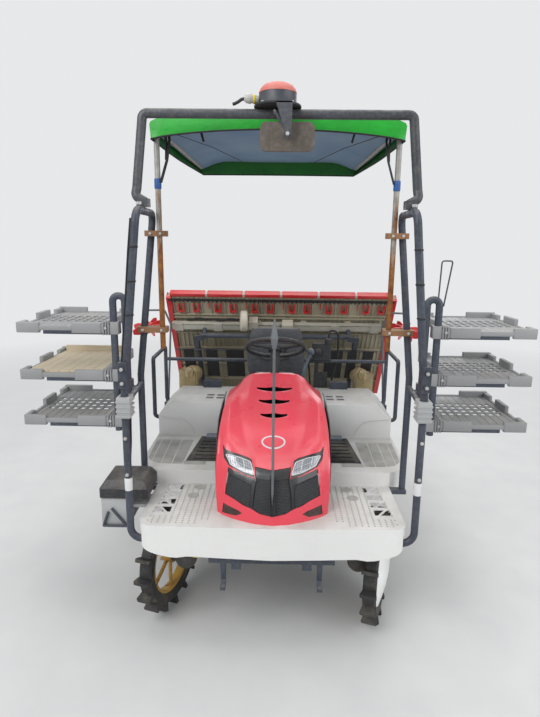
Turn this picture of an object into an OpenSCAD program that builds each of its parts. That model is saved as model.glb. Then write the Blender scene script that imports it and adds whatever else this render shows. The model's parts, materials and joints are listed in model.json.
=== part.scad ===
// Ride-on rice transplanter for six rows.
// X runs across the machine, +Y to its rear and +Z up. Left and right are the driver's, who faces -Y,
// so left is +X. The pieces are drawn from the ground point
// under the front axle, and at_origin() moves them so that the frame starts under the middle.

/* [Wheels and axles] */
// Distance between the front and the rear axle
wheelbase = 1060; // [1020:10:1100]
// Diameter of a front wheel over its lugs
front_wheel_d = 650; // [630:5:670]
// Diameter of a rear wheel over its lugs
rear_wheel_d = 900; // [880:5:910]
// Width of a front tyre
front_tyre_w = 90; // [80:1:100]
// Width of a rear wheel over its lugs
rear_tyre_w = 100; // [90:1:110]
// Distance between the two kingpins
kingpin_span = 1010; // [1000:5:1030]
// How far a front wheel stands out from its kingpin
wheel_offset = 110; // [105:1:115]
// Distance between the middles of the rear wheels
rear_tread = 1200; // [1180:5:1220]
// How far the front wheels are turned where the machine is parked
parked_steer = 18; // [10:1:22]

/* [Frame] */
// Distance between the middles of the two side rails
rail_span = 380; // [360:5:400]
// Width of a side rail
rail_w = 60; // [50:1:65]
// Height of a side rail
rail_h = 70; // [60:1:75]

/* [Deck] */
// Height of the front floor above the ground
floor_z = 725; // [720:1:735]
// Height of the rear step above the ground
step_z = 810; // [800:1:820]
// Half width of the front floor
floor_half = 692; // [680:1:696]
// Half width of the rear step
step_half = 818; // [800:1:825]
// Wall of the moulded deck
deck_wall = 8; // [6:0.5:10]
// Front edge of the deck, from the front axle
deck_front = -350; // [-360:1:-345]
// How far the middle of the front skirt bulges forward
skirt_bulge = 16; // [8:1:20]
// Lower edge of the front skirt
skirt_low = 545; // [535:1:560]
// Top of the seat box above the ground
box_z = 1045; // [1035:1:1055]
// Front face of the seat box, from the front axle
box_front = 725; // [715:1:735]

/* [Bonnet] */
// Half width of the bonnet at its shoulders
bonnet_half = 342; // [330:1:350]
// Top of the bonnet above the ground
bonnet_top = 1346; // [1330:1:1360]
// Rear edge of the bonnet, from the front axle
bonnet_rear = 430; // [420:1:440]
// Wall of the bonnet
bonnet_wall = 6; // [4:0.5:8]

/* [Front hoop] */
// Outer diameter of the hoop's tube
hoop_d = 45; // [40:1:48]
// Outer diameter of the side frames' tube
frame_d = 38; // [32:1:40]
// Height of the hoop's top bar above the ground
hoop_z = 2765; // [2700:5:2800]
// Half width of the hoop at its widest
hoop_half = 684; // [670:1:695]

/* [Canopy] */
// Half width of the canopy at its front edge
canopy_half = 640; // [620:5:650]
// Length of the canopy
canopy_len = 1190; // [1150:10:1210]

/* [Tray stands] */
// Height of the lowest tray's floor above the ground
tray_z = 1150; // [1140:1:1160]
// Distance from one tray up to the next
tray_pitch = 260; // [250:1:270]
// Width of a tray, across the machine
tray_w = 515; // [500:1:530]
// Depth of a tray, along the machine
tray_d = 620; // [600:5:640]
// Height of a tray's rim
tray_h = 42; // [36:1:46]
// Distance from the middle of the machine to a stand's pivot
stand_x = 802; // [798:1:810]

/* [Lift links] */
// Length of a lift link between its pins
link_len = 550; // [530:5:570]
// Slope of the links where the planting unit is raised
link_rise = 25; // [22:1:27]
// Height of the lower pins on the frame
link_low_z = 620; // [610:1:630]
// Distance from the lower pins up to the upper pins
link_gap = 230; // [220:1:240]

/* [Planting unit] */
// Distance between two planted rows
row_pitch = 300; // [290:1:300]
// Number of planting cases, each of which serves two rows
cases = 3; // [3:1:3]
// Slope of the seedling table from the level
table_slope = 56.7; // [55:0.1:58]
// Length of the seedling table along its slope
table_len = 1150; // [1120:5:1160]
// Half width of the seedling table
table_half = 920; // [900:5:920]
// How far the table stands to one side where the machine is parked
table_shift = 35; // [0:1:40]
// Radius that the planting claws sweep
rotor_r = 170; // [160:1:172]

/* [Hidden] */
$fn = 48;

// The middle of the machine's length, from the front axle
middle_y = 1045;
// Gap between faces that turn or slide on each other
run_gap = 0.3;
// Gap all round a pin in its eye
pin_gap = 0.08;
eps = 0.01;
// How far a tube's straight lengths lap into its bends, and how much thicker the bends are
bend_lap = 1;
bend_swell = 0.2;

front_r = front_wheel_d / 2;
rear_r = rear_wheel_d / 2;
kingpin_x = kingpin_span / 2;
rail_top = floor_z - deck_wall;
rail_z = rail_top - rail_h;
chassis_rear = 1180;
chassis_front = -290;

// Moves a piece from the front axle's ground point to the frame's own origin
module at_origin() {
    translate([0, -middle_y, 0]) children();
}

// The piece and its mirror image on the other side
module both_sides() {
    children();
    mirror([1, 0, 0]) children();
}

// A round bar from one point to another
module bar(a, b, d) {
    v = b - a;
    translate(a) rotate([0, acos(v.z / norm(v)), atan2(v.y, v.x)]) cylinder(d = d, h = norm(v));
}

function unit(v) = v / norm(v);

// A bent tube through the given corners, with every corner rounded to the radius r
module bent_tube(corners, d, r) {
    last = len(corners) - 1;
    dirs = [for (i = [0 : last - 1]) unit(corners[i + 1] - corners[i])];
    // How far the rounding of each corner reaches along its two legs
    turn = [for (i = [1 : last - 1]) acos(dirs[i - 1] * dirs[i])];
    cut = [for (i = [0 : last]) (i == 0 || i == last) ? 0 : r * tan(turn[i - 1] / 2)];
    // The straight lengths reach a little way into the bends, which are a hair thicker
    for (i = [0 : last - 1]) {
        back = i == 0 ? 0 : bend_lap;
        on = i == last - 1 ? 0 : bend_lap;
        bar(corners[i] + (cut[i] - back) * dirs[i], corners[i + 1] - (cut[i + 1] - on) * dirs[i], d);
    }
    for (i = [1 : last - 1]) {
        axis = unit(cross(dirs[i - 1], dirs[i]));
        start = corners[i] - cut[i] * dirs[i - 1];
        inward = unit(cross(axis, dirs[i - 1]));
        centre = start + r * inward;
        e1 = -inward;
        e2 = dirs[i - 1];
        multmatrix([
            [e1.x, e2.x, axis.x, centre.x],
            [e1.y, e2.y, axis.y, centre.y],
            [e1.z, e2.z, axis.z, centre.z],
            [0, 0, 0, 1]
        ]) rotate_extrude(angle = turn[i - 1]) translate([r, 0]) circle(d = d + bend_swell);
    }
}

// A closed skin over level rings of points that run counter-clockwise, all with the same number of points
module skin(rings) {
    n = len(rings[0]);
    m = len(rings);
    points = [for (ring = rings) for (p = ring) p];
    sides = [
        for (j = [0 : m - 2]) for (i = [0 : n - 1])
            let (k = (i + 1) % n)
            each [[j * n + i, (j + 1) * n + k, j * n + k], [j * n + i, (j + 1) * n + i, (j + 1) * n + k]]
    ];
    low = [for (i = [1 : n - 2]) [0, i, i + 1]];
    high = [for (i = [1 : n - 2]) [(m - 1) * n, (m - 1) * n + i + 1, (m - 1) * n + i]];
    polyhedron(points, concat(sides, low, high), convexity = 6);
}

// A flat rounded rectangle
module rounded(w, h, r) {
    hull() {
        for (x = [-1, 1]) for (y = [-1, 1]) {
            translate([x * (w / 2 - r), y * (h / 2 - r)]) circle(r = r);
        }
    }
}

// Chassis

module chassis_frame() {
    color("dimgray") {
        for (side = [-1, 1]) {
            translate([side * rail_span / 2 - rail_w / 2, chassis_front + 60, rail_z])
                cube([rail_w, chassis_rear - chassis_front - 60, rail_h]);
        }
        // Cross members between the rails
        for (y = [-200, 60, 330, 640, 960, 1120]) {
            translate([-rail_span / 2, y, rail_z]) cube([rail_span, 40, rail_h]);
        }
        // Outriggers under the front floor and under the rear step
        translate([-560, -120, rail_z + 20]) cube([1120, 40, rail_h - 20]);
        translate([-560, 450, rail_z + 20]) cube([1120, 40, step_z - deck_wall - rail_z - 20]);
        // Front bar that takes the side frames' feet
        translate([-foot_x, side_bar_y - 25, side_bar_z - 22]) cube([2 * foot_x, 50, 44]);
        for (side = [-1, 1]) {
            translate([side * rail_span / 2 - 25, side_bar_y - 20, side_bar_z - 20])
                cube([50, 120, rail_top - side_bar_z + 20]);
        }
        hitch_tower();
        seat_posts();
        tie_down_eyes();
    }
}

// Plates under the front bar, each with the hole for a strap's shackle
module tie_down_eyes() {
    for (side = [-1, 1]) {
        translate([side * eye_x - eye_plate / 2, side_bar_y - 25, eye_z - 25]) difference() {
            cube([eye_plate, 50, side_bar_z - 22 - eye_z + 25 + 1]);
            translate([-1, 25, 25]) rotate([0, 90, 0]) cylinder(r = eye_r, h = eye_plate + 2);
        }
    }
}

eye_x = 190;
eye_z = 560;
eye_plate = 12;
eye_r = 12;
leg_bore_r = 5.5;
leg_bore_z = 985;

side_bar_y = -300;
side_bar_z = 622;
foot_x = rail_span / 2 + 25;
tower_w = 300;
tower_plate = 12;
pin_d = 25;

// The two plates at the rear that hold the lift links' pins
module hitch_tower() {
    for (side = [-1, 1]) {
        translate([side * tower_w / 2 - tower_plate / 2, tower_y, rail_z - 60])
            cube([tower_plate, link_y + 40 - tower_y, link_low_z + link_gap + 45 - rail_z + 60]);
    }
    for (z = [link_low_z, link_low_z + link_gap]) {
        translate([-tower_w / 2 - 10, link_y, z]) rotate([0, 90, 0]) cylinder(d = pin_d, h = tower_w + 20);
    }
}

link_y = chassis_rear + 20;
tower_y = 1115;

// Posts that carry the seat box and the seat's hinge
module seat_posts() {
    for (side = [-1, 1]) for (y = [790, 1020]) {
        translate([side * rail_span / 2 - 20, y, rail_top - 5])
            cube([40, 40, box_z - box_wall - rail_top + 5]);
    }
}

engine = [380, 330, 330];

module engine_block() {
    color("silver")
        translate([-engine.x / 2, -90, rail_top]) cube(engine);
}

module front_axle_case() {
    color("slategray") {
        // Gearbox between the rails
        translate([-120, -130, 430]) cube([240, 330, rail_z - 430]);
        // Axle tubes out to the kingpin housings
        for (side = [-1, 1]) {
            bar([0, 0, axle_z], [side * (kingpin_x - 20), 0, axle_z], 80);
            translate([side * kingpin_x, 0, knuckle_top + run_gap]) cylinder(d = 110, h = 75);
            translate([side * (rail_span / 2), 0, axle_z]) rotate([0, 90, 0])
                translate([0, 0, -25]) cylinder(d = 120, h = 50);
        }
    }
}

axle_z = 545;
knuckle_top = 500;

module knuckle(side) {
    color("darkslategray")
        translate([side * kingpin_x, 0, 0]) rotate([0, 0, -parked_steer]) {
            cylinder_on(knuckle_top - front_r + 30, 84, front_r - 30);
            translate([0, 0, knuckle_top - 25]) cylinder(d = 104, h = 25);
            translate([0, 0, front_r]) sphere(d = 128);
            hub_len = wheel_offset - hub_w / 2 - run_gap;
            bar([0, 0, front_r], [side * hub_len, 0, front_r], 70);
        }
}

module cylinder_on(h, d, z) {
    translate([0, 0, z]) cylinder(d = d, h = h);
}

hub_w = 60;

module rear_axle_case() {
    color("slategray")
        translate([0, wheelbase, 0]) {
            translate([-110, -110, 520]) cube([220, 200, rail_z - 520]);
            for (side = [-1, 1]) {
                bar([0, 0, rear_axle_z], [side * drop_x, 0, rear_axle_z], 90);
                // Final drive case, which drops from the axle to the hub
                hull() {
                    for (end = [[rear_axle_z, 130], [rear_r, 110]]) {
                        translate([side * drop_x - 30, 0, end[0]]) rotate([0, 90, 0]) cylinder(d = end[1], h = 60);
                    }
                }
                bar([side * drop_x, 0, rear_r], [side * (hub_x - hub_w / 2 - run_gap), 0, rear_r], 70);
            }
        }
}

hub_x = rear_tread / 2;
drop_x = hub_x - 80;
rear_axle_z = 560;

// Wheels

// A tyre's casing with paddle lugs, its axle along X and its middle at the origin
module tyre(d, w, lug_h, lug_t, lugs, rim_d, splay) {
    r = d / 2;
    rotate([0, 90, 0]) {
        rotate_extrude($fn = 40)
            polygon([
                [rim_d / 2, -w * 0.30], [r - lug_h - 12, -w * 0.42], [r - lug_h, -w * 0.30],
                [r - lug_h, w * 0.30], [r - lug_h - 12, w * 0.42], [rim_d / 2, w * 0.30]
            ]);
        for (i = [0 : lugs - 1]) {
            rotate([0, 0, i * 360 / lugs]) lug(r, w, lug_h, lug_t, splay);
        }
    }
}

// One lug: a tapered paddle across the tread, its tip flat at the wheel's full radius
module lug(r, w, lug_h, lug_t, splay) {
    intersection() {
        rotate([90, 0, 0])
            linear_extrude(height = lug_t, center = true)
                polygon([
                    [r - lug_h - 14, -w * 0.36], [r - 6, -w / 2], [r, -w / 2 + 6],
                    [r, w / 2 - 6], [r - 6, w / 2], [r - lug_h - 14, w * 0.36]
                ]);
        linear_extrude(height = w + 2, center = true)
            polygon([
                [r - lug_h - 16, -lug_t * splay], [r + 1, -lug_t * 0.34],
                [r + 1, lug_t * 0.34], [r - lug_h - 16, lug_t * splay]
            ]);
    }
}

// A steel rim with a hub and spokes, its axle along X
module rim(rim_d, w, spokes, spoke_d) {
    rotate([0, 90, 0]) {
        rotate_extrude($fn = 40)
            polygon([
                [rim_d / 2 - 16, -w / 2], [rim_d / 2 - run_gap, -w / 2], [rim_d / 2 - run_gap, w / 2],
                [rim_d / 2 - 16, w / 2]
            ]);
        cylinder(d = 96, h = hub_w, center = true);
        for (i = [0 : spokes - 1]) {
            rotate([0, 0, i * 360 / spokes]) translate([40, 0, 0]) rotate([0, 90, 0])
                cylinder(d = spoke_d, h = rim_d / 2 - 50);
        }
    }
}

module at_front_wheel(side) {
    translate([side * kingpin_x, 0, front_r]) rotate([0, 0, -parked_steer])
        translate([side * wheel_offset, 0, 0]) children();
}

module at_rear_wheel(side) {
    translate([side * rear_tread / 2, wheelbase, rear_r]) children();
}

front_rim_d = 440;
rear_rim_d = 650;

module front_tyre(side) {
    color("#222222") at_front_wheel(side) tyre(front_wheel_d, front_tyre_w, 42, 26, 16, front_rim_d, 0.6);
}

module rear_tyre(side) {
    color("#222222") at_rear_wheel(side) tyre(rear_wheel_d, rear_tyre_w, 75, 30, 16, rear_rim_d, 0.6);
}

module front_rim(side) {
    color("#a8843c") at_front_wheel(side) {
        rim(front_rim_d, 50, 6, 22);
        if (side > 0) {
            // White cover disc on the outer side
            translate([hub_w / 2 - eps, 0, 0]) rotate([0, 90, 0]) cylinder(d = 300, h = 5);
        }
    }
}

module rear_rim(side) {
    color("#a8843c") at_rear_wheel(side) rim(rear_rim_d, 44, 6, 24);
}

// Deck and seat box

box_wall = 8;
corner_r = 70;
step_front = 215;

// Plan of the front floor: its front edge is one flat arc between two round corners
module floor_plan(inset) {
    half = floor_half - inset;
    front = deck_front + inset;
    bow = skirt_bulge;
    bow_r = (half * half + bow * bow) / (2 * bow);
    offset(r = corner_r - inset) offset(r = -corner_r + inset)
        intersection() {
            translate([-half, front - bow]) square([2 * half, step_front - front + bow]);
            translate([0, front - bow + bow_r]) circle(r = bow_r, $fn = 400);
        }
}

// Plan of the rear step, which widens behind the side frames
module step_plan(inset) {
    half = step_half - inset;
    polygon([
        [-floor_half + inset, 150 + inset], [floor_half - inset, 150 + inset],
        [step_half - 40 - inset, step_front + inset], [half, 330],
        [half, box_front + 60 - inset], [-half, box_front + 60 - inset],
        [-half, 330], [-step_half + 40 + inset, step_front + inset]
    ]);
}

module deck() {
    color("#dcdcd6") {
        difference() {
            union() {
                translate([0, 0, skirt_low]) linear_extrude(height = floor_z - skirt_low) floor_plan(0);
                translate([0, 0, floor_z - deck_wall])
                    linear_extrude(height = step_z - floor_z + deck_wall) step_plan(0);
                // Lip along the sides of the step
                difference() {
                    translate([0, 0, floor_z - 35]) linear_extrude(height = 40) step_plan(0);
                    translate([-600, 0, floor_z - 40]) cube([1200, 1000, 60]);
                }
            }
            // Hollow under the floor and under the step
            translate([0, 0, skirt_low - 1])
                linear_extrude(height = floor_z - deck_wall - skirt_low + 1) floor_plan(deck_wall);
            translate([0, 0, skirt_low - 1])
                linear_extrude(height = step_z - deck_wall - skirt_low + 1) step_plan(deck_wall);
            // The skirt is deep only across the front: behind it the sides are open over the wheels
            translate([-step_half - 50, deck_front + 24, skirt_low - 2])
                cube([2 * step_half + 100, 2000, floor_z - skirt_low - 48]);
            // The engine's opening in the floor, and the bonnet's bay in the step
            translate([-250, -220, floor_z - 2 * deck_wall]) cube([500, 560, 200]);
            translate([-bay_half, 140, floor_z + eps]) cube([2 * bay_half, 305, 200]);
            for (side = [-1, 1]) for (i = [0 : 3]) {
                translate([side * (595 - 7 * i) - 45, -205 + i * 90, floor_z - 20]) cube([90, 70, 40]);
            }
            wheel_arches();
        }
        // Diagonal bars across the drain openings
        for (side = [-1, 1]) for (i = [0 : 3]) {
            translate([side * (595 - 7 * i), -170 + i * 90, floor_z - deck_wall])
                rotate([0, 0, side * 55]) translate([-50, -5, 0]) cube([100, 10, deck_wall - 1]);
        }
    }
}

bay_half = 322;

// Room for the rear wheels, open towards the rear
module wheel_arches() {
    for (side = [-1, 1]) {
        translate([side * rear_tread / 2, wheelbase, rear_r]) rotate([0, 90, 0])
            cylinder(r = rear_r + 30, h = rear_tyre_w + 90, center = true);
    }
}

module floor_mats() {
    color("#2b2b2d")
        both_sides()
            translate([0, 0, step_z + run_gap]) {
                linear_extrude(height = 6) mat_plan();
                for (i = [0 : 6]) {
                    translate([355, 300 + i * 60, 6 - eps]) cube([150 - i * 4, 22, 6]);
                }
            }
}

module mat_plan() {
    polygon([[348, 285], [545, 285], [505, box_front - 20], [348, box_front - 20]]);
}

// The seat box: a hollow moulding over the rear wheels, with its top stepped down to the rear
module seat_box() {
    color("#dcdcd6")
        difference() {
            seat_box_form(0);
            translate([0, 0, -2 * eps]) seat_box_form(box_wall);
            wheel_arches();
            // Opening in the rear wall for the lift links
            translate([-200, box_rear - 60, step_z - 10]) cube([400, 100, 160]);
        }
}

box_half = 808;
box_rear = 1230;

module seat_box_form(inset) {
    translate([0, 0, step_z + run_gap])
        hull() {
            translate([-box_half + inset, box_front + inset, 0])
                cube([2 * (box_half - inset), box_rear - box_front - 2 * inset, 150 - inset]);
            translate([-box_half + 90 + inset, box_front + 20 + inset, 0])
                cube([2 * (box_half - 90 - inset), box_rear - box_front - 60 - 2 * inset, box_z - step_z - inset]);
        }
}

// Driver's place

column_foot = [0, 330, 1120];
wheel_centre = [0, 560, 1480];
wheel_lean = 28;

module steering_column() {
    color("#2e3136") {
        // Console behind the bonnet
        hull() {
            translate([-300, 450, step_z + run_gap]) cube([600, 50, 10]);
            translate([-300, 450, 1150]) cube([600, 50, 10]);
            translate([-120, 450, 1300]) cube([240, 50, 30]);
        }
        side_panels();
        steer_tilt() translate([0, 0, -190]) cylinder(d = 60, h = 190 - 25);
    }
}

panel_wall = 8;
panel_out = 12;

// The dark panels behind the bonnet's side edges, which stand a little wider than the bonnet
module side_panels() {
    difference() {
        intersection() {
            bonnet_form(-panel_out, 0);
            seam_area(1.5) ;
        }
        translate([0, 0, -20]) bonnet_form(panel_wall - panel_out, 40);
        translate([0, 0, 20]) bonnet_form(panel_wall - panel_out, 40);
    }
}

// Side view of what lies behind and below the bonnet's seam, less a gap along the seam
module seam_area(gap) {
    translate([-500, 0, 0]) rotate([90, 0, 90])
        linear_extrude(height = 1000) offset(delta = -gap) polygon([
            [-75, 700], [10, 960], [130, 1180], [225, 1250], [bonnet_rear + 40, 1262], [bonnet_rear + 40, 700]
        ]);
}

// Places a child at the steering wheel's hub, with Z along the column
module steer_tilt() {
    translate(wheel_centre) rotate([-wheel_lean, 0, 0]) children();
}

rim_tube = 26;
wheel_r = 200;

module steering_wheel() {
    color("#26282b")
        steer_tilt() {
            rotate_extrude() translate([wheel_r - rim_tube / 2, 0]) circle(d = rim_tube);
            translate([0, 0, -25 + run_gap]) cylinder(d = 90, h = 30);
            for (a = [90, 210, 330]) {
                rotate([0, 0, a]) translate([30, -14, -12]) cube([wheel_r - rim_tube - 24, 28, 12]);
            }
        }
}

module controls() {
    color("#3c4450") {
        // Main lever beside the console, and the small lever
        bent_tube([[170, 560, 1180], [190, 590, 1330], [235, 640, 1440]], 22, 120);
        translate([235, 640, 1440]) sphere(d = 46);
        translate([130, 500 + run_gap, 1160]) cube([80, 80, 40]);
        // Pedals on the step beside the console
        for (side = [-1, 1]) {
            translate([side * 334 - 10, 455, step_z + run_gap]) cube([20, 30, 10]);
            bar([side * 337, 470, step_z + 8], [side * 337, 430, step_z + 110], 18);
            translate([side * 385 - 50, 395, step_z + 105]) cube([100, 70, 12]);
        }
    }
}

seat_foot = 745;

module seat() {
    color("#2d2f33") {
        // Cushion and backrest
        hull() {
            translate([-215, seat_foot + 10, seat_z]) cube([430, 380, 40]);
            translate([-190, seat_foot + 30, seat_z + 70]) cube([380, 330, 20]);
        }
        hull() {
            translate([-215, 1070, seat_z + 60]) cube([430, 90, 60]);
            translate([-190, 1095, 1500]) cube([380, 70, 20]);
            translate([-222, 1080, 1300]) cube([444, 85, 60]);
        }
        // Pan with its hinge ears in front and its stops behind
        translate([-200, seat_foot, seat_z - 25]) cube([400, 390, 25 + eps]);
        for (side = [-1, 1]) {
            translate([side * 150 - 10, seat_foot + 14, seat_pin_z]) {
                rotate([0, 90, 0]) cylinder(d = seat_ear_d, h = 20);
                translate([0, -10, 0]) cube([20, 20, seat_z - 20 - seat_pin_z]);
            }
            translate([side * 150, seat_foot + 340, box_z + run_gap]) cylinder(d = 40, h = seat_z - 20 - box_z);
        }
    }
}

seat_ear_d = 24;
seat_pin_z = box_z + seat_ear_d / 2 + run_gap;

seat_z = box_z + 50;

// Side frames, hoop and canopy

frame_top_z = 2290;
frame_foot_z = side_bar_z;
front_leg_y = side_bar_y;
rear_leg_y = 130;

module side_frames() {
    color("#3b4654")
        both_sides() {
            difference() {
                bent_tube([
                    [-foot_x, front_leg_y, side_bar_z], [-738, front_leg_y, side_bar_z],
                    [-738, front_leg_y, 1400], [-645, front_leg_y, frame_top_z],
                    [-665, rear_leg_y, frame_top_z], [-765, rear_leg_y, 1400], [-765, rear_leg_y, 722]
                ], frame_d, 60);
                // Bolt hole through the front leg
                translate([-738, front_leg_y - 30, leg_bore_z]) rotate([-90, 0, 0])
                    cylinder(r = leg_bore_r, h = 60);
            }
            // Bracket from the rear leg to the deck's side
            translate([-785, rear_leg_y - 30, 700]) cube([785 - floor_half - run_gap, 45, 25]);
            // Joint block with its two bolts
            translate([-757, front_leg_y - 32, 1440]) cube([44, 64, 130]);
            for (z = [1470, 1540]) {
                translate([-735, front_leg_y - 31, z]) rotate([90, 0, 0]) cylinder(d = 22, h = 12);
            }
            // Cross bar and the socket that holds the tray stand's pivot
            bar([-738, front_leg_y, socket_z], [-765, rear_leg_y, socket_z], 30);
            difference() {
                bar([-stand_x, 0, socket_z], [-757, 0, socket_z], 40);
                translate([-stand_x, 0, socket_z - 70]) cylinder(d = 50, h = 140);
            }
            translate([-stand_x, 0, socket_z - 55]) difference() {
                cylinder(d = 60, h = 110);
                translate([0, 0, -1]) cylinder(d = frame_d + 2 * pin_gap, h = 112);
            }
        }
}

socket_z = 1350;

module front_hoop() {
    color("#3a3f47") {
        top = hoop_z - hoop_d / 2;
        bent_tube([
            [-645, -120, frame_top_z + 45], [-690, -120, frame_top_z + 70], [-hoop_half, -110, 2400],
            [-hoop_half + 38, -100, top], [hoop_half - 38, -100, top],
            [hoop_half, -110, 2400], [690, -120, frame_top_z + 70], [645, -120, frame_top_z + 45]
        ], hoop_d, 26);
        both_sides()
            translate([-680, -150, frame_top_z + frame_d / 2 + run_gap]) cube([56, 60, 40]);
        // Arm and ball that carry the mirror
        bent_tube([
            [-14, -100, top], [-14, ball_y - 40, top - 10], [mirror_at.x, ball_y - 40, mirror_at.z + 10],
            [mirror_at.x, ball_y, mirror_at.z]
        ], 14, 12);
        translate([mirror_at.x, ball_y, mirror_at.z]) sphere(d = ball_d);
    }
}

mirror_at = [47, -150, 2632];
mirror_t = 30;
ball_d = 26;
ball_y = mirror_at.y - mirror_t / 2 - ball_d / 2 - run_gap;

module clamp_covers() {
    color("#b9bcbc")
        both_sides()
            difference() {
                translate([-770, front_leg_y - 40, 1290]) cube([66, 80, 106]);
                translate([-738, front_leg_y, 1280]) cylinder(d = frame_d + 2 * run_gap, h = 130);
                // Room for the frame's cross bar
                translate([-780, front_leg_y, socket_z - 18]) cube([90, 60, 36]);
            }
}

module canopy_poles() {
    color("#9a6a44") {
        both_sides() {
            bent_tube([[-625, 102, 1560], [-600, 102, 2590], [-540, 1215, 2590]], 30, 50);
            // Clamps that hold the pole to the side frame's rear leg
            difference() {
                for (clamp = [[-765, 1650, 168], [-705, 2170, 118]]) {
                    translate([clamp.x, 72, clamp.y]) cube([clamp.z, 88, 30]);
                }
                bar([-765, rear_leg_y, 1400], [-665, rear_leg_y, frame_top_z], frame_d + 2 * run_gap);
                bar([-625, 102, 1560], [-600, 102, 2590], 30 + 2 * run_gap);
            }
        }
        for (i = [0 : 2]) {
            y = 140 + i * 520;
            half = 598 - 28 * i;
            bent_tube([
                [-half, y, 2590], [-320, y, canopy_inside - 12.4], [320, y, canopy_inside - 12.4], [half, y, 2590]
            ], 24, 60);
        }
    }
}

canopy_low = 2606;
canopy_top = 2735;
canopy_wall = 12;
canopy_inside = canopy_top - canopy_wall;

module canopy() {
    color("#2fbf3f")
        translate([0, 70, 0])
            difference() {
                canopy_form(0);
                translate([0, 0, -eps]) canopy_form(canopy_wall);
            }
}

// The canopy narrows to the rear, and its sides slope up to a flat top
module canopy_form(inset) {
    half = canopy_half - inset;
    hull() {
        translate([0, 0, canopy_low])
            linear_extrude(height = 30) polygon([
                [-half, inset], [half, inset], [half - 80, canopy_len - inset], [-half + 80, canopy_len - inset]
            ]);
        translate([-330, 60, canopy_low]) cube([660, canopy_len - 120, canopy_top - inset - canopy_low]);
    }
}

module antenna_unit() {
    color("#7d5a50") {
        translate([0, -100, hoop_z]) {
            translate([-70, -55, 0]) cube([140, 110, 42]);
            translate([0, 0, 42]) scale([1, 1, 1]) cylinder(d = 220, h = 12);
            translate([0, 0, 54]) cylinder(d = 185, h = 50);
            translate([0, 0, 104]) cylinder(d1 = 185, d2 = 120, h = 22);
        }
    }
}

module rear_mirror() {
    color("#5a5550")
        translate(mirror_at)
            rotate([90, 0, 0]) linear_extrude(height = mirror_t, center = true) rounded(256, 130, 30);
}

module rear_rail() {
    color("#4a5360") {
        both_sides()
            bent_tube([
                [-box_half - run_gap, 790, 925], [-848, 790, 925], [-848, 790, 1350], [-848, rail_y, 1350],
                [-848, rail_y, 925], [-box_half - run_gap, rail_y, 925]
            ], 28, 24);
        bar([-848, rail_y, 1256], [848, rail_y, 1256], 27);
    }
}

rail_y = 1200;

module side_box() {
    color("#c9c9c4") {
        difference() {
            translate([-940, -150, 600]) cube([150, 230, 170]);
            translate([-933, -143, 608]) cube([136, 216, 200]);
        }
        // Bracket to the deck's side
        translate([-792, -100, 690]) cube([792 - floor_half - run_gap, 130, 20]);
    }
}

module side_box_lid() {
    color("#2f3338")
        hull() {
            translate([-945, -158, 770 + run_gap]) cube([265, 246, 55]);
            translate([-915, -130, 770]) cube([205, 190, 100]);
        }
}

// Bonnet

// Levels of the bonnet: height, front edge, half width, squareness of its plan
function bonnet_levels(inset) = [
    [floor_z + run_gap, -285 + inset, 296 - inset, 0.45],
    [820, -275 + inset, 306 - inset, 0.45],
    [960, -215 + inset, 318 - inset, 0.5],
    [1090, -110 + inset, 334 - inset, 0.5],
    [1190, 50 + inset, bonnet_half - inset, 0.5],
    [1262, 180 + inset, 290 - inset, 0.5],
    [bonnet_top - 26 - inset, 300 + inset, 165 - inset, 0.6],
    [bonnet_top - inset, 350 + inset, 110 - inset, 0.7]
];

// One level as a ring: a squared half ellipse in front of a straight rear edge
function bonnet_ring(level, rear) = [
    for (i = [0 : 24])
        let (a = 180 + i * 7.5, p = level[3])
        [
            level[2] * sign(cos(a)) * pow(abs(cos(a)), p),
            rear - (rear - level[1]) * pow(abs(sin(a)), p),
            level[0]
        ]
];

module bonnet_form(inset, past = 0) {
    skin([for (level = bonnet_levels(inset)) bonnet_ring(level, bonnet_rear + past)]);
}

module bonnet() {
    color("#e0404f")
        difference() {
            bonnet_form(0);
            translate([0, 0, -6]) bonnet_form(bonnet_wall, 20);
            // The sides end at the seam, behind which the side panels stand
            seam_area(0);
            front_cut() {
                grille_outline();
                lamp_outline();
                mirror([1, 0]) lamp_outline();
            }
            for (i = [0 : 2]) {
                translate([-70 + i * 4, -300, 1285 - i * 45]) cube([140 - i * 8, 620, 12]);
            }
        }
}

// Cuts from the front: an outline in X and Z, through the bonnet's front wall only
module front_cut() {
    translate([0, 0, 0]) rotate([90, 0, 0]) linear_extrude(height = 400) children();
}

module grille_outline() {
    polygon([
        [-235, 930], [-262, 800], [-130, 775], [0, 765], [130, 775], [262, 800], [235, 930],
        [90, 900], [60, 975], [0, 965], [-60, 975], [-90, 900]
    ]);
}

module lamp_outline() {
    polygon([[-270, 1065], [-262, 985], [-110, 915], [-95, 950], [-150, 1010]]);
}

module bonnet_grille() {
    color("#1d1f22") {
        intersection() {
            difference() {
                bonnet_form(4);
                translate([0, 0, -6]) bonnet_form(12, 20);
            }
            rotate([90, 0, 0]) linear_extrude(height = 400) offset(delta = -run_gap) grille_outline();
        }
        // Cheeks that hold the centre pole's foot
        for (side = [-1, 1]) {
            translate([side * 13 - 3, -306, 772]) cube([6, 50, 130]);
        }
    }
}

module headlamps() {
    color("#d8dadc")
        both_sides()
            intersection() {
                difference() {
                    bonnet_form(2);
                    translate([0, 0, -6]) bonnet_form(14, 20);
                }
                rotate([90, 0, 0]) linear_extrude(height = 400) offset(delta = -run_gap) lamp_outline();
            }
}

pole_foot = [0, -295, 795];

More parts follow.
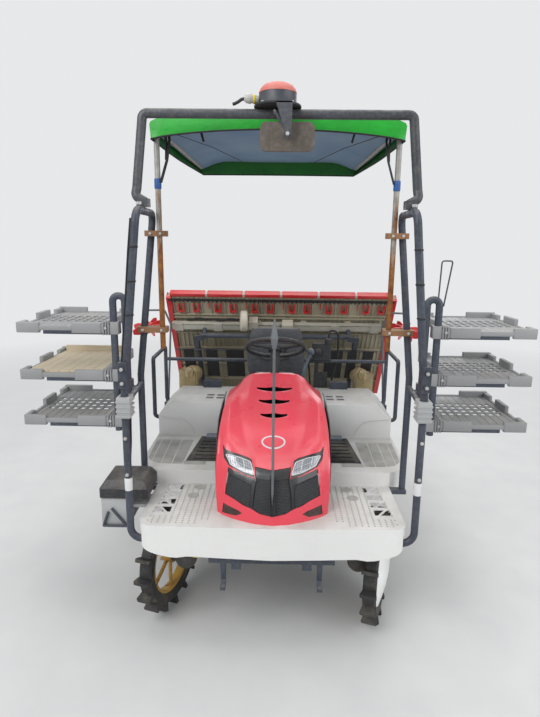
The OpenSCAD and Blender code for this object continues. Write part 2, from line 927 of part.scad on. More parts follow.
module centre_pole() {
    color("#6c7178") {
        translate(pole_foot) rotate([0, 90, 0]) cylinder(d = 20, h = 20 - 2 * run_gap, center = true);
        translate(pole_foot) {
            cylinder(d = 14, h = 860);
            translate([0, 0, 850]) cylinder(d1 = 20, d2 = 38, h = 50);
            translate([0, 0, 900]) cylinder(d1 = 38, d2 = 8, h = 90);
        }
    }
}

// Planting unit

link_end_y = link_y + link_len * cos(link_rise);
link_end_z = link_low_z + link_len * sin(link_rise);

// A link pair from the frame's pins to the planting unit's pins at a height above the lower link
module link(x, z, d, w) {
    a = [0, link_y, z];
    b = [0, link_end_y, z - link_low_z + link_end_z];
    dir = unit(b - a);
    for (side = [-1, 1]) {
        for (p = [a, b]) {
            translate([side * x - w / 2, p.y, p.z]) rotate([0, 90, 0]) difference() {
                cylinder(d = 60, h = w);
                translate([0, 0, -1]) cylinder(d = pin_d + 2 * pin_gap, h = w + 2);
            }
        }
        bar([side * x, a.y, a.z] + dir * 24, [side * x, b.y, b.z] - dir * 24, d);
    }
}

module lower_link() {
    color("#404a56") {
        link(110, link_low_z, 38, 30);
        dir = [0, cos(link_rise), sin(link_rise)];
        mid = [0, link_y, link_low_z] + dir * 200;
        bar(mid - [110, 0, 0], mid + [110, 0, 0], 34);
    }
}

module upper_link() {
    color("#404a56") {
        link(60, link_low_z + link_gap, 32, 26);
        dir = [0, cos(link_rise), sin(link_rise)];
        mid = [0, link_y, link_low_z + link_gap] + dir * 200;
        bar(mid - [60, 0, 0], mid + [60, 0, 0], 30);
    }
}

beam_y = 1930;
beam_z = 700;
rotor_y = 2340;
rotor_z = 700;
case_x = [for (i = [0 : cases - 1]) (i - (cases - 1) / 2) * 2 * row_pitch];

// Directions along the table's slope, downwards, and out of its underside
slope_dir = [0, cos(table_slope), -sin(table_slope)];
under_dir = [0, -sin(table_slope), -cos(table_slope)];
table_top = [0, 1520, 1715];

module planting_frame() {
    color("#39424e") {
        // Cross beam
        translate([-930, beam_y - 35, beam_z - 35]) cube([1860, 70, 70]);
        // Plates that carry the links' pins, and the arm down to the beam
        for (side = [-1, 1]) {
            translate([side * tower_w / 2 - tower_plate / 2, link_end_y - 40, link_end_z - 45])
                cube([tower_plate, 90, link_gap + 90]);
            bar([side * tower_w / 2, link_end_y + 30, link_end_z + link_gap - 10], [side * tower_w / 2, beam_y, beam_z + 20], 50);
        }
        for (z = [link_end_z, link_end_z + link_gap]) {
            translate([-tower_w / 2 - 10, link_end_y, z]) rotate([0, 90, 0])
                cylinder(d = pin_d, h = tower_w + 20);
        }
        // Inverted-U frame that holds the table's upper rail
        foot = table_top + slope_dir * 1010 + under_dir * 120;
        head = table_top + slope_dir * 330 + under_dir * 120;
        bent_tube([
            [-665, beam_y, beam_z], [-665, foot.y, foot.z], [-665, head.y, head.z],
            [665, head.y, head.z], [665, foot.y, foot.z], [665, beam_y, beam_z]
        ], 42, 70);
        // Upper rail with its brackets
        rail = table_top + slope_dir * 270 + under_dir * 60;
        bar([-860, rail.y, rail.z], [860, rail.y, rail.z], 40);
        for (side = [-1, 1]) {
            bar([side * 600, rail.y, rail.z], [side * 600, head.y, head.z], 36);
        }
        // Carriers of the line markers: an arm from each end of the beam to a clevis
        both_sides() {
            bar([-860, beam_y, beam_z], [-marker_pivot.x + 30, marker_pivot.y + 60, marker_pivot.z - 45], 40);
            translate([-marker_pivot.x + 25 + pin_gap * 10, marker_pivot.y - 33, marker_pivot.z - 70])
                cube([14, 100, 95]);
            for (end = [-1, 1]) {
                translate([-marker_pivot.x - 26, marker_pivot.y + end * 26.8 - 6.5, marker_pivot.z - 28])
                    cube([60, 13, 56]);
            }
        }
    }
}

module planting_cases() {
    color("#b9b3a2") {
        guide = table_top + slope_dir * 1085 + under_dir * 45;
        for (x = case_x) {
            translate([x - 30, beam_y + 35, rotor_z - 45]) cube([60, rotor_y - beam_y - 35, 77]);
            translate([x, rotor_y, rotor_z]) rotate([0, 90, 0]) cylinder(d = 110, h = 76, center = true);
            translate([x - 15, guide.y - 12, rotor_z + 20]) cube([30, 24, guide.z - rotor_z - 20]);
        }
        // Lower guide that the table slides on
        bar([-860, guide.y, guide.z], [860, guide.y, guide.z], guide_d);
        for (side = [-1, 1]) {
            translate([side * 790 - 60, 1800 - 60, 800]) cube([120, 120, 230]);
            translate([side * 790 - 40, 1800, beam_z + 35]) cube([80, 95, 70]);
        }
    }
}

guide_d = 24;

module floats() {
    color("#3a4a5c") {
        for (x = case_x) {
            hull() {
                translate([x - 110, 1800, 440]) cube([220, 420, 40]);
                translate([x - 90, 1740, 480]) cube([180, 500, 20]);
            }
            translate([x - 12, beam_y - 30, 495]) cube([24, 60, beam_z - 35 - 495]);
        }
    }
}

module on_table(s, below) {
    p = table_top + slope_dir * s + under_dir * below;
    translate([table_shift, p.y, p.z]) rotate([-table_slope, 0, 0]) children();
}

// In on_table, +Y runs down the slope, and +Z stands out of the table's upper side
module seedling_table() {
    color("#c9c1aa")
        on_table(0, 0) {
            translate([-table_half, 0, -12]) cube([2 * table_half, table_len, 10]);
            for (i = [0 : 6]) {
                translate([-table_half + 12 + i * lane - 8, 0, -3]) cube([16, table_len, 38]);
            }
            for (i = [0 : 5]) for (j = [0 : 6]) {
                translate([-table_half + 40 + i * lane + j * 38, 10, -22]) cube([8, table_len - 20, 11]);
            }
            // Runners over the upper rail and the lower guide
            for (x = [-560, -190, 190, 560]) {
                translate([x - 25, 270 - 30, -40 + run_gap]) cube([50, 60, 30]);
                translate([x - 25, 1085 - 20, -45 + guide_d / 2 + run_gap]) cube([50, 40, 22]);
            }
        }
}

// Distance between two of the table's walls
lane = (2 * table_half - 24) / 6;

module table_bars() {
    color("#d3202c")
        on_table(0, 0) {
            for (i = [0 : 5]) {
                translate([-table_half + 20 + i * lane, -30, -20]) cube([lane - 16, 30 - run_gap, 50]);
            }
            for (side = [-1, 1]) {
                translate([side * (table_half + 6 + run_gap) - 6, 0, -28]) cube([12, table_len - 60, 68]);
            }
        }
}

module planting_rotors() {
    color("#a7a9a6")
        translate([0, rotor_y, rotor_z]) rotate([90, 0, 90]) {
            for (x = case_x) for (side = [-1, 1]) {
                translate([0, 0, x + side * 72]) {
                    // Planet case on its hub
                    linear_extrude(height = 44, center = true) hull() {
                        for (end = [-1, 1]) translate([end * 85, 0]) circle(d = 62);
                    }
                    translate([0, 0, -side * 17]) cylinder(d = 50, h = 2 * (17 - run_gap), center = true);
                    // Two arms, each with its claw
                    for (end = [-1, 1]) {
                        translate([end * 85, 0, side * 44]) cylinder(d = 36, h = 46, center = true);
                        translate([end * 85, 0, side * 78]) rotate([0, 0, end * 90 - 60]) {
                            translate([-18, -24, -14]) cube([36, 70, 28]);
                            translate([-4, 40, -10]) cube([8, rotor_r - 120, 20]);
                        }
                    }
                }
            }
        }
}

marker_pivot = [900, 1495, 800];
marker_hub = [1040, 1495, 1450];
// The star wheel's axis, from its hub into the arm
marker_axis = unit([6, -21, 55]);
star_w = 74;

module marker_arm(side) {
    color("#5b626b")
        mirror([side < 0 ? 1 : 0, 0, 0]) {
            translate(marker_pivot) rotate([90, 0, 0]) cylinder(d = 50, h = 40, center = true);
            bent_tube([
                marker_pivot, [862, 1495, 1480], [905, 1475, 1598],
                marker_hub + marker_axis * 160, marker_hub + marker_axis * (star_w / 2 + run_gap)
            ], 16, 26);
        }
}

module marker_wheel(side) {
    color("#e03038")
        mirror([side < 0 ? 1 : 0, 0, 0])
            translate(marker_hub)
                rotate([0, acos(marker_axis.z), atan2(marker_axis.y, marker_axis.x)]) {
                    cylinder(d = 60, h = star_w, center = true);
                    for (i = [0 : 7]) {
                        rotate([90, 0, i * 45]) linear_extrude(height = 8, center = true)
                            polygon([[20, -33], [95, -35], [136, -18], [136, 18], [95, 35], [20, 33]]);
                    }
                }
}

// Tray stands

post_x = 866;
post_top = 1860;

module tray_stand(side) {
    color("#3b4654")
        mirror([side < 0 ? 0 : 1, 0, 0]) {
            bent_tube([
                [-stand_x, 0, socket_z - 50], [-stand_x, 0, post_top], [-post_x, 0, post_top], [-post_x, 0, 1110]
            ], frame_d, 31);
            // Arms under the trays
            for (i = [0 : 2]) {
                translate([-post_x - 380, -14, tray_z + i * tray_pitch - 18]) cube([380, 28, 18]);
            }
        }
}

module trays(side) {
    color("#b6b9ba")
        mirror([side < 0 ? 0 : 1, 0, 0])
            for (i = [0 : 2]) {
                translate([-post_x - frame_d / 2 - run_gap - tray_w, -20, tray_z + i * tray_pitch]) one_tray();
            }
}

module one_tray() {
    difference() {
        cube([tray_w, tray_d, tray_h]);
        translate([8, 8, 6]) cube([tray_w - 16, tray_d - 16, tray_h]);
        for (i = [0 : 7]) for (j = [0 : 3]) {
            translate([50 + i * 55, 90 + j * 130, -1]) cube([26, 40, 20]);
        }
    }
}

module lifting_board() {
    color("#c8b28a")
        translate([-post_x - frame_d / 2 - tray_w + 20, 20, tray_z + tray_pitch + 6 + run_gap])
            cube([tray_w - 60, 560, 12]);
}

at_origin() chassis_frame();
at_origin() engine_block();
at_origin() front_axle_case();
at_origin() rear_axle_case();
at_origin() deck();
at_origin() floor_mats();
at_origin() seat_box();
at_origin() steering_column();
at_origin() controls();
at_origin() side_frames();
at_origin() front_hoop();
at_origin() clamp_covers();
at_origin() canopy_poles();
at_origin() canopy();
at_origin() antenna_unit();
at_origin() rear_mirror();
at_origin() rear_rail();
at_origin() side_box();
at_origin() side_box_lid();
at_origin() bonnet();
at_origin() bonnet_grille();
at_origin() headlamps();
at_origin() centre_pole();
at_origin() seat();
at_origin() steering_wheel();
at_origin() knuckle(1);  // knuckle_left
at_origin() knuckle(-1);  // knuckle_right
at_origin() front_tyre(1);  // front_tyre_left
at_origin() front_tyre(-1);  // front_tyre_right
at_origin() front_rim(1);  // front_rim_left
at_origin() front_rim(-1);  // front_rim_right
at_origin() rear_tyre(1);  // rear_tyre_left
at_origin() rear_tyre(-1);  // rear_tyre_right
at_origin() rear_rim(1);  // rear_rim_left
at_origin() rear_rim(-1);  // rear_rim_right
at_origin() lower_link();
at_origin() upper_link();
at_origin() planting_frame();
at_origin() planting_cases();
at_origin() floats();
at_origin() seedling_table();
at_origin() table_bars();
at_origin() planting_rotors();
at_origin() marker_arm(1);  // marker_arm_left
at_origin() marker_arm(-1);  // marker_arm_right
at_origin() marker_wheel(1);  // marker_wheel_left
at_origin() marker_wheel(-1);  // marker_wheel_right
at_origin() tray_stand(1);  // tray_stand_left
at_origin() tray_stand(-1);  // tray_stand_right
at_origin() trays(1);  // trays_left
at_origin() trays(-1);  // trays_right
at_origin() lifting_board();
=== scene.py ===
"""Looks for the ride-on rice transplanter: finishes, moulded details, canopy, seat, studio and camera."""

import json
import math

import bmesh
import bpy
from mathutils import Matrix, Vector
from mathutils.bvhtree import BVHTree


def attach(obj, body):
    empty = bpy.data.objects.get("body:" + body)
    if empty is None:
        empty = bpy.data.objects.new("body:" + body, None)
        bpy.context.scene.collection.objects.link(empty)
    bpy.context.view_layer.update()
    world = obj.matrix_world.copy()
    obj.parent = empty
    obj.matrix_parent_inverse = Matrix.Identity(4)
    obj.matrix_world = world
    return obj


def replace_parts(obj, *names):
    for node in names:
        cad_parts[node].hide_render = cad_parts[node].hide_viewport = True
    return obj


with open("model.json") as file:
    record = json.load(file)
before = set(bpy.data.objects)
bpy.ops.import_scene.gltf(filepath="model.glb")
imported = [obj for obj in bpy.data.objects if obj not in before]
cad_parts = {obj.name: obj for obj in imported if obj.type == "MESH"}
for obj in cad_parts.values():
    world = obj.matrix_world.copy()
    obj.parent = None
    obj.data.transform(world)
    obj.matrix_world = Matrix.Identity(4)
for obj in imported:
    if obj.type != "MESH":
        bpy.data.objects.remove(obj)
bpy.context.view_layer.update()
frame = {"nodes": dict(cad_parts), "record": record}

NODES = frame["nodes"]
RECORD = frame["record"]
BODY_OF = {node: body for body, nodes in RECORD["behaviour"]["bodies"].items() for node in nodes}
SLOT_OF = {row["node"]: row["material_slot"] for row in RECORD["subparts"]}
CHASSIS, BONNET_BODY, SEAT_BODY = "chassis", "bonnet_shell", "driver_seat"
TABLE_BODY, UNIT_BODY = "table", "planting_unit"
SIDES = (-1, 1)
# The source's zero is the front axle's ground point, this far ahead of the frame's origin, in metres
MIDDLE_Y = 1.045


def mm(x, y, z):
    """A point given as in the part's source, in millimetres, in the frame's own place"""
    return Vector((x / 1000, y / 1000 - MIDDLE_Y, z / 1000))


def linked(name, data):
    """A new object in the scene"""
    obj = bpy.data.objects.new(name, data)
    bpy.context.scene.collection.objects.link(obj)
    return obj


# Camera: a phone held at 2.15 m in front of the machine, looking a little down
PHOTO_SIZE = (540, 717)
FOCAL_PIXELS = 540.0
CAMERA_PLACE = (20, -2857, 2154)
PITCH, YAW, ROLL = (math.radians(a) for a in (12.3, 0.9, 0.65))


def make_camera():
    forward = Vector((-math.sin(YAW) * math.cos(PITCH), math.cos(YAW) * math.cos(PITCH), -math.sin(PITCH)))
    right = Vector((math.cos(YAW), math.sin(YAW), 0.0))
    down = forward.cross(right)
    across = right * math.cos(ROLL) - down * math.sin(ROLL)
    below = right * math.sin(ROLL) + down * math.cos(ROLL)
    data = bpy.data.cameras.new("phone")
    data.sensor_fit = "AUTO"
    data.sensor_width = 36.0
    data.lens = FOCAL_PIXELS / max(PHOTO_SIZE) * data.sensor_width
    data.clip_start, data.clip_end = 0.05, 200.0
    camera = linked("phone", data)
    turn = Matrix((across, -below, -forward)).transposed().to_4x4()
    camera.matrix_world = Matrix.Translation(mm(*CAMERA_PLACE)) @ turn
    bpy.context.scene.camera = camera


make_camera()


# Finishes

class Finish:
    """A material while it is made: one Principled shader and short ways to the nodes that feed it."""

    def __init__(self, name, color, rough=0.5, metal=0.0, **sockets):
        self.material = bpy.data.materials.new(name)
        self.material.use_nodes = True
        self.tree = self.material.node_tree
        self.shader = self.tree.nodes["Principled BSDF"]
        self.coords = self.tree.nodes.new("ShaderNodeTexCoord").outputs["Object"]
        self.normal = None
        self.set("Base Color", color)
        self.set("Roughness", rough)
        self.set("Metallic", metal)
        for socket, value in sockets.items():
            self.set(socket.replace("_", " "), value)

    def set(self, socket, value):
        target = self.shader.inputs[socket]
        if isinstance(value, bpy.types.NodeSocket):
            self.tree.links.new(value, target)
        elif target.type == "RGBA":
            target.default_value = (*value, 1.0)
        else:
            target.default_value = value

    def add(self, kind, inputs=(), **settings):
        node = self.tree.nodes.new(kind)
        for key, value in settings.items():
            setattr(node, key, value)
        for key, value in dict(inputs).items():
            if isinstance(value, bpy.types.NodeSocket):
                self.tree.links.new(value, node.inputs[key])
            else:
                node.inputs[key].default_value = value
        return node

    def stretched(self, x, y, z, turn=(0, 0, 0)):
        """Object coordinates, scaled along the axes, for grain that runs one way"""
        return self.add("ShaderNodeMapping", {"Vector": self.coords, "Scale": (x, y, z), "Rotation": turn}
                        ).outputs["Vector"]

    def noise(self, scale, detail=4.0, rough=0.55, coords=None, low=None, high=None):
        node = self.add("ShaderNodeTexNoise", {"Vector": coords or self.coords, "Scale": scale, "Detail": detail,
                                               "Roughness": rough})
        out = node.outputs["Fac"]
        return out if low is None else self.span(out, low, high)

    def span(self, value, low, high, to_low=0.0, to_high=1.0):
        """The value's range from low to high, brought to another range and cut off at its ends"""
        node = self.add("ShaderNodeMapRange", {"Value": value, "From Min": low, "From Max": high, "To Min": to_low,
                                               "To Max": to_high})
        node.clamp = True
        return node.outputs["Result"]

    def times(self, a, b):
        return self.add("ShaderNodeMath", {0: a, 1: b}, operation="MULTIPLY").outputs[0]

    def plus(self, a, b, clamp=False):
        return self.add("ShaderNodeMath", {0: a, 1: b}, operation="ADD", use_clamp=clamp).outputs[0]

    def height(self):
        """How high a point of the surface lies over the ground"""
        return self.add("ShaderNodeSeparateXYZ", {0: self.coords}).outputs["Z"]

    def upward(self, low=0.3, high=0.9):
        """Where the surface looks up, where dust settles"""
        normal = self.add("ShaderNodeTexCoord").outputs["Normal"]
        return self.span(self.add("ShaderNodeSeparateXYZ", {0: normal}).outputs[2], low, high)

    def blend(self, share, a, b):
        """Colour a, with colour b over it by the share"""
        node = self.add("ShaderNodeMix", data_type="RGBA")
        for index, value in ((0, share), (6, a), (7, b)):
            if isinstance(value, bpy.types.NodeSocket):
                self.tree.links.new(value, node.inputs[index])
            elif index == 0:
                node.inputs[index].default_value = value
            else:
                node.inputs[index].default_value = (*value, 1.0)
        return node.outputs[2]

    def bump(self, height, strength=0.3, distance=0.001):
        inputs = {"Height": height, "Strength": strength, "Distance": distance}
        if self.normal is not None:
            inputs["Normal"] = self.normal
        self.normal = self.add("ShaderNodeBump", inputs).outputs["Normal"]
        self.set("Normal", self.normal)

    def dusty(self, color, amount=0.5, scale=6.0, spots=0.35):
        """The colour with dust that lies in patches, mostly on what looks up"""
        patches = self.noise(scale, 6.0, 0.65, low=0.38, high=0.75)
        fine = self.noise(scale * 9, 3.0, 0.6, low=0.45, high=0.8)
        settled = self.times(self.upward(), amount)
        share = self.plus(self.times(patches, settled), self.times(fine, spots * amount), clamp=True)
        return self.blend(share, color, DUST)


DUST = (0.42, 0.36, 0.28)
MUD = (0.16, 0.115, 0.07)
PLASTIC_GRAIN = 700.0
RUST = (0.20, 0.075, 0.025)


def toned(color, factor, lift=0.0):
    """The colour made darker or paler"""
    return tuple(min(1.0, c * factor + lift) for c in color)


def painted_steel(name, color, dust=0.35, rust=0.5, rough=0.42):
    """Satin paint on steel, with dust on top, rust spots and a little orange peel"""
    f = Finish(name, color, rough)
    shade = f.noise(3.0, 3.0, low=0.3, high=0.7)
    base = f.blend(shade, color, toned(color, 1.5, 0.01))
    base = f.dusty(base, dust)
    spots = f.times(f.noise(38.0, 5.0, 0.7, low=0.64, high=0.72), f.noise(5.0, 2.0, low=0.45, high=0.62))
    base = f.blend(f.times(spots, rust), base, RUST)
    f.set("Base Color", base)
    f.set("Roughness", f.span(f.noise(18.0, 4.0), 0.3, 0.7, rough - 0.08, rough + 0.22))
    f.bump(f.noise(160.0, 2.0), 0.08, 0.0008)
    f.bump(spots, 0.25, 0.0006)
    return f.material


def moulded_plastic(name, color, rough=0.45, dust=0.3, scuffs=0.25):
    """Moulded plastic with a fine grain, dust in patches and pale scuffs"""
    f = Finish(name, color, rough)
    tint = f.blend(f.noise(2.2, 3.0, low=0.3, high=0.7), color, toned(color, 0.86))
    tint = f.dusty(tint, dust, 5.0)
    scratch = f.noise(14.0, 6.0, 0.75, f.stretched(1.0, 7.0, 2.0, (0.3, 0.2, 0.7)), 0.62, 0.70)
    tint = f.blend(f.times(scratch, scuffs), tint, toned(color, 0.45))
    f.set("Base Color", tint)
    f.set("Roughness", f.span(f.noise(9.0, 5.0), 0.3, 0.7, rough - 0.1, rough + 0.18))
    f.bump(f.noise(PLASTIC_GRAIN, 1.0), 0.12, 0.0004)
    return f.material


def trodden_plastic(name, color, dirt, rough=0.42):
    """Pale moulded plastic, greyed by feet where it faces up, with dirt left in patches"""
    f = Finish(name, color, rough)
    tint = f.blend(f.noise(2.2, 3.0, low=0.3, high=0.7), color, toned(color, 0.93))
    trodden = f.times(f.upward(0.55, 0.95), f.span(f.noise(5.5, 6.0, 0.6), 0.3, 0.7, 0.30, 0.95))
    tint = f.blend(trodden, tint, dirt)
    tint = f.dusty(tint, 0.16, 5.0)
    f.set("Base Color", tint)
    f.set("Roughness", f.span(f.noise(9.0, 5.0), 0.3, 0.7, rough - 0.1, rough + 0.2))
    f.bump(f.noise(PLASTIC_GRAIN, 1.0), 0.12, 0.0004)
    return f.material


def glossy_shell(name, color, rough=0.24, dust=0.12):
    """Glossy moulded colour with a clear layer, faint dust and swirls"""
    f = Finish(name, color, rough, Coat_Weight=0.5, Coat_Roughness=0.12)
    tint = f.blend(f.noise(1.7, 2.0, low=0.35, high=0.65), color, toned(color, 0.9))
    tint = f.dusty(tint, dust, 7.0)
    f.set("Base Color", tint)
    f.set("Roughness", f.span(f.noise(6.0, 5.0), 0.35, 0.7, rough, rough + 0.2))
    f.bump(f.noise(220.0, 2.0), 0.03, 0.0004)
    return f.material


def casting(name, color, dirt=0.5, rough=0.62, metal=0.25):
    """Rough cast metal with dirt in patches"""
    f = Finish(name, color, rough, metal)
    tint = f.blend(f.noise(4.0, 5.0, low=0.3, high=0.7), color, toned(color, 0.6))
    tint = f.blend(f.times(f.noise(7.0, 6.0, 0.7, low=0.46, high=0.66), dirt), tint, MUD)
    tint = f.dusty(tint, 0.35)
    f.set("Base Color", tint)
    f.bump(f.noise(240.0, 3.0), 0.35, 0.0008)
    return f.material


def rusty_tube(name):
    """Bare tube, galvanised grey at the top and rusted orange below"""
    f = Finish(name, (0.4, 0.4, 0.38), 0.6, 0.2)
    streak = f.noise(7.0, 6.0, 0.7, f.stretched(3.0, 3.0, 0.5))
    height = f.span(f.height(), 1.7, 2.62, 0.36, -0.2)
    share = f.span(f.plus(streak, height), 0.42, 0.62)
    zinc = f.blend(f.noise(20.0, 4.0, low=0.3, high=0.7), (0.42, 0.41, 0.38), (0.27, 0.26, 0.24))
    rust = f.blend(f.noise(30.0, 5.0, low=0.35, high=0.65), (0.32, 0.13, 0.035), (0.15, 0.055, 0.02))
    f.set("Base Color", f.blend(share, zinc, rust))
    f.set("Roughness", f.span(share, 0, 1, 0.45, 0.85))
    f.bump(f.noise(300.0, 4.0), 0.3, 0.0006)
    return f.material


def tyre_rubber(name):
    """Black rubber with dried field mud in the hollows"""
    f = Finish(name, (0.02, 0.02, 0.021), 0.7)
    tint = f.blend(f.noise(5.0, 4.0, low=0.35, high=0.65), (0.018, 0.018, 0.019), (0.045, 0.043, 0.04))
    mud = f.times(f.noise(9.0, 7.0, 0.7, low=0.5, high=0.64), 0.55)
    tint = f.blend(mud, tint, (0.17, 0.14, 0.105))
    f.set("Base Color", tint)
    f.set("Roughness", f.span(mud, 0, 0.6, 0.6, 0.95))
    f.bump(f.noise(120.0, 6.0, 0.7), 0.35, 0.0015)
    return f.material


def chipped_rim(name):
    """Ochre paint, chipped to rust and stained by mud"""
    f = Finish(name, (0.52, 0.30, 0.05), 0.5)
    tint = f.blend(f.noise(6.0, 4.0, low=0.3, high=0.7), (0.56, 0.33, 0.06), (0.34, 0.18, 0.03))
    chips = f.noise(26.0, 6.0, 0.75, low=0.58, high=0.63)
    tint = f.blend(chips, tint, RUST)
    tint = f.blend(f.times(f.noise(8.0, 6.0, low=0.5, high=0.7), 0.6), tint, MUD)
    f.set("Base Color", tint)
    f.set("Roughness", f.span(chips, 0, 1, 0.42, 0.85))
    f.bump(chips, -0.3, 0.0008)
    return f.material


def vinyl(name, color):
    """Grained vinyl of the seat, dusty and worn to grey"""
    f = Finish(name, color, 0.5, Sheen_Weight=0.15)
    tint = f.blend(f.noise(5.0, 5.0, low=0.3, high=0.7), color, toned(color, 1.9, 0.01))
    tint = f.dusty(tint, 0.28)
    f.set("Base Color", tint)
    cells = f.add("ShaderNodeTexVoronoi", {"Vector": f.coords, "Scale": 420.0}).outputs["Distance"]
    f.bump(cells, 0.25, 0.0005)
    f.set("Roughness", f.span(f.noise(12.0, 4.0), 0.3, 0.7, 0.42, 0.66))
    return f.material


def canopy_inside(name):
    """The canopy's underside: faded blue-grey cloth, lit through, with a fine weave"""
    f = Finish(name, (0.13, 0.22, 0.33), 0.8)
    tint = f.blend(f.noise(2.5, 5.0, low=0.3, high=0.7), (0.12, 0.205, 0.32), (0.19, 0.28, 0.38))
    f.set("Base Color", tint)
    f.bump(f.noise(900.0, 2.0, 0.5, f.stretched(1.0, 2.0, 1.0)), 0.2, 0.0004)
    return f.material


def tarpaulin(name, color, shade):
    """Coated cloth with creases, slightly glossy"""
    f = Finish(name, color, 0.42)
    folds = f.noise(5.0, 5.0, 0.6, f.stretched(1.0, 2.2, 1.4))
    tint = f.blend(f.span(folds, 0.35, 0.65), color, shade)
    tint = f.dusty(tint, 0.12)
    f.set("Base Color", tint)
    f.bump(folds, 0.5, 0.012)
    f.bump(f.noise(26.0, 5.0, 0.6), 0.25, 0.003)
    return f.material


def bright_lens(name):
    """A clear lamp cover over a bright reflector with fine upright ribs, striped lighter and darker in turn as painted
    highlight and shade
    """
    f = Finish(name, (0.62, 0.64, 0.66), 0.12, 0.35, Coat_Weight=1.0, Coat_Roughness=0.03)
    ribs = f.add("ShaderNodeTexWave", {"Vector": f.stretched(1.0, 0.0, 0.35), "Scale": 34.0}).outputs["Fac"]
    # The ribs take a lighter and a darker grey in turn: painted highlight and shade
    f.set("Base Color", f.blend(ribs, (0.42, 0.43, 0.45), (0.20, 0.21, 0.23)))
    f.bump(ribs, 0.4, 0.001)
    return f.material


def hatch_rubber(name):
    """Grey anti-slip panel, dusty in its hatching"""
    f = Finish(name, (0.40, 0.395, 0.375), 0.75)
    tint = f.blend(f.noise(9.0, 5.0, low=0.35, high=0.65), (0.34, 0.335, 0.315), (0.50, 0.485, 0.455))
    f.set("Base Color", tint)
    for turn in (0.8, -0.8):
        wave = f.add("ShaderNodeTexWave", {"Vector": f.stretched(1.0, 1.0, 1.0, (0, 0, turn)), "Scale": 48.0})
        f.bump(wave.outputs["Fac"], 0.5, 0.0015)
    return f.material


# Ways to make a finish, each with the finishes made that way and their values, in the order that the way takes them
WAYS = (
    (moulded_plastic, {
        "black_grille": ((0.014, 0.015, 0.018), 0.5, 0.15),
        "black_trim": ((0.012, 0.012, 0.014), 0.55, 0.12),
        "blue_tape": ((0.02, 0.10, 0.35), 0.5, 0.25),
        "board_plastic": ((0.68, 0.58, 0.42), 0.55, 0.25),
        "charcoal_plastic": ((0.055, 0.06, 0.075), 0.4, 0.2),
        "cream_plastic": ((0.62, 0.58, 0.48), 0.5, 0.4),
        "dark_plastic": ((0.025, 0.027, 0.031), 0.45, 0.3),
        "dusty_plastic": ((0.05, 0.05, 0.06), 0.5, 0.6),
        "float_plastic": ((0.035, 0.055, 0.09), 0.5, 0.4),
        "grey_plastic": ((0.42, 0.43, 0.43), 0.5, 0.3),
        # The grille's wire: its black plastic made grey to stand for its highlights, a painted highlight
        "grille_wire": ((0.075, 0.08, 0.09), 0.35, 0.1),
        "lamp_lens": ((0.55, 0.57, 0.6), 0.2, 0.1),
        "mat_rubber": ((0.022, 0.022, 0.024), 0.7, 0.35),
        "mirror_back": ((0.11, 0.09, 0.075), 0.6, 0.7),
        "pale_plastic": ((0.50, 0.49, 0.45), 0.5, 0.4),
        "salmon_dome": ((0.62, 0.17, 0.14), 0.5, 0.22),
        "table_plastic": ((0.44, 0.40, 0.29), 0.6, 0.3, 0.4),
        "tray_plastic": ((0.30, 0.305, 0.31), 0.55, 0.35),
        "worn_dots": ((0.42, 0.42, 0.40), 0.6, 0.3),
        "yellow_plastic": ((0.72, 0.55, 0.02), 0.5, 0.2),
    }),
    (glossy_shell, {
        "black_gloss": ((0.014, 0.015, 0.018), 0.28, 0.1),
        "bonnet_plastic": ((0.83, 0.062, 0.095),),
        "brown_lens": ((0.045, 0.018, 0.012), 0.25, 0.3),
        "lamp_chrome": ((0.72, 0.73, 0.75), 0.2, 0.05),
        "marker_red": ((0.68, 0.03, 0.035), 0.35, 0.15),
        "red_plastic": ((0.60, 0.012, 0.018), 0.3, 0.2),
        "reflector": ((0.75, 0.76, 0.76), 0.25, 0.15),
    }),
    (painted_steel, {
        "bolt_steel": ((0.36, 0.36, 0.35), 0.2, 0.8, 0.35),
        "frame_paint": ((0.030, 0.038, 0.055),),
        "hoop_paint": ((0.035, 0.04, 0.048), 0.5),
        "lever_paint": ((0.045, 0.065, 0.09),),
        "pole_metal": ((0.10, 0.11, 0.12),),
        "rail_paint": ((0.34, 0.33, 0.28), 0.4, 0.8, 0.6),
        "rusty_clamp": ((0.20, 0.10, 0.045), 0.3, 1.0, 0.75),
        "white_paint": ((0.74, 0.73, 0.70), 0.15, 0.35, 0.35),
    }),
    (casting, {
        "cast_alloy": ((0.12, 0.12, 0.12), 0.7),
        "rotor_alloy": ((0.42, 0.42, 0.40), 0.5, 0.45, 0.7),
        "tan_casting": ((0.46, 0.36, 0.19), 0.45, 0.62, 0.0),
    }),
    (tarpaulin, {
        "canopy_cloth": ((0.012, 0.42, 0.03), (0.008, 0.30, 0.02)),
        # The inside of the canopy's hanging edges: the green cloth made darker, as painted shade
        "canopy_shade": ((0.006, 0.16, 0.012), (0.004, 0.12, 0.01)),
    }),
    (trodden_plastic, {"deck_plastic": ((0.80, 0.80, 0.78), (0.50, 0.49, 0.46))}),
    (vinyl, {"seat_vinyl": ((0.028, 0.03, 0.036),)}),
    (bright_lens, {"bright_lens": ()}),
    (canopy_inside, {"canopy_inside": ()}),
    (chipped_rim, {"rim_paint": ()}),
    (hatch_rubber, {"hatch_rubber": ()}),
    (rusty_tube, {"rusty_tube": ()}),
    (tyre_rubber, {"tyre_rubber": ()}),
)
FINISHES = {name: way(name, *values) for way, finishes in WAYS for name, values in finishes.items()}

for node, solid in NODES.items():
    solid.data.materials.clear()
    solid.data.materials.append(FINISHES[SLOT_OF[node]])


# Making pieces: a shape is a pair of points, in the frame's metres, and faces

def crease(mesh, angle):
    """Smooth shading, with sharp edges where two faces meet at more than the angle"""
    work = bmesh.new()
    work.from_mesh(mesh)
    for face in work.faces:
        face.smooth = True
    for edge in work.edges:
        edge.smooth = len(edge.link_faces) != 2 or edge.calc_face_angle(0.0) < math.radians(angle)
    work.to_mesh(mesh)
    work.free()


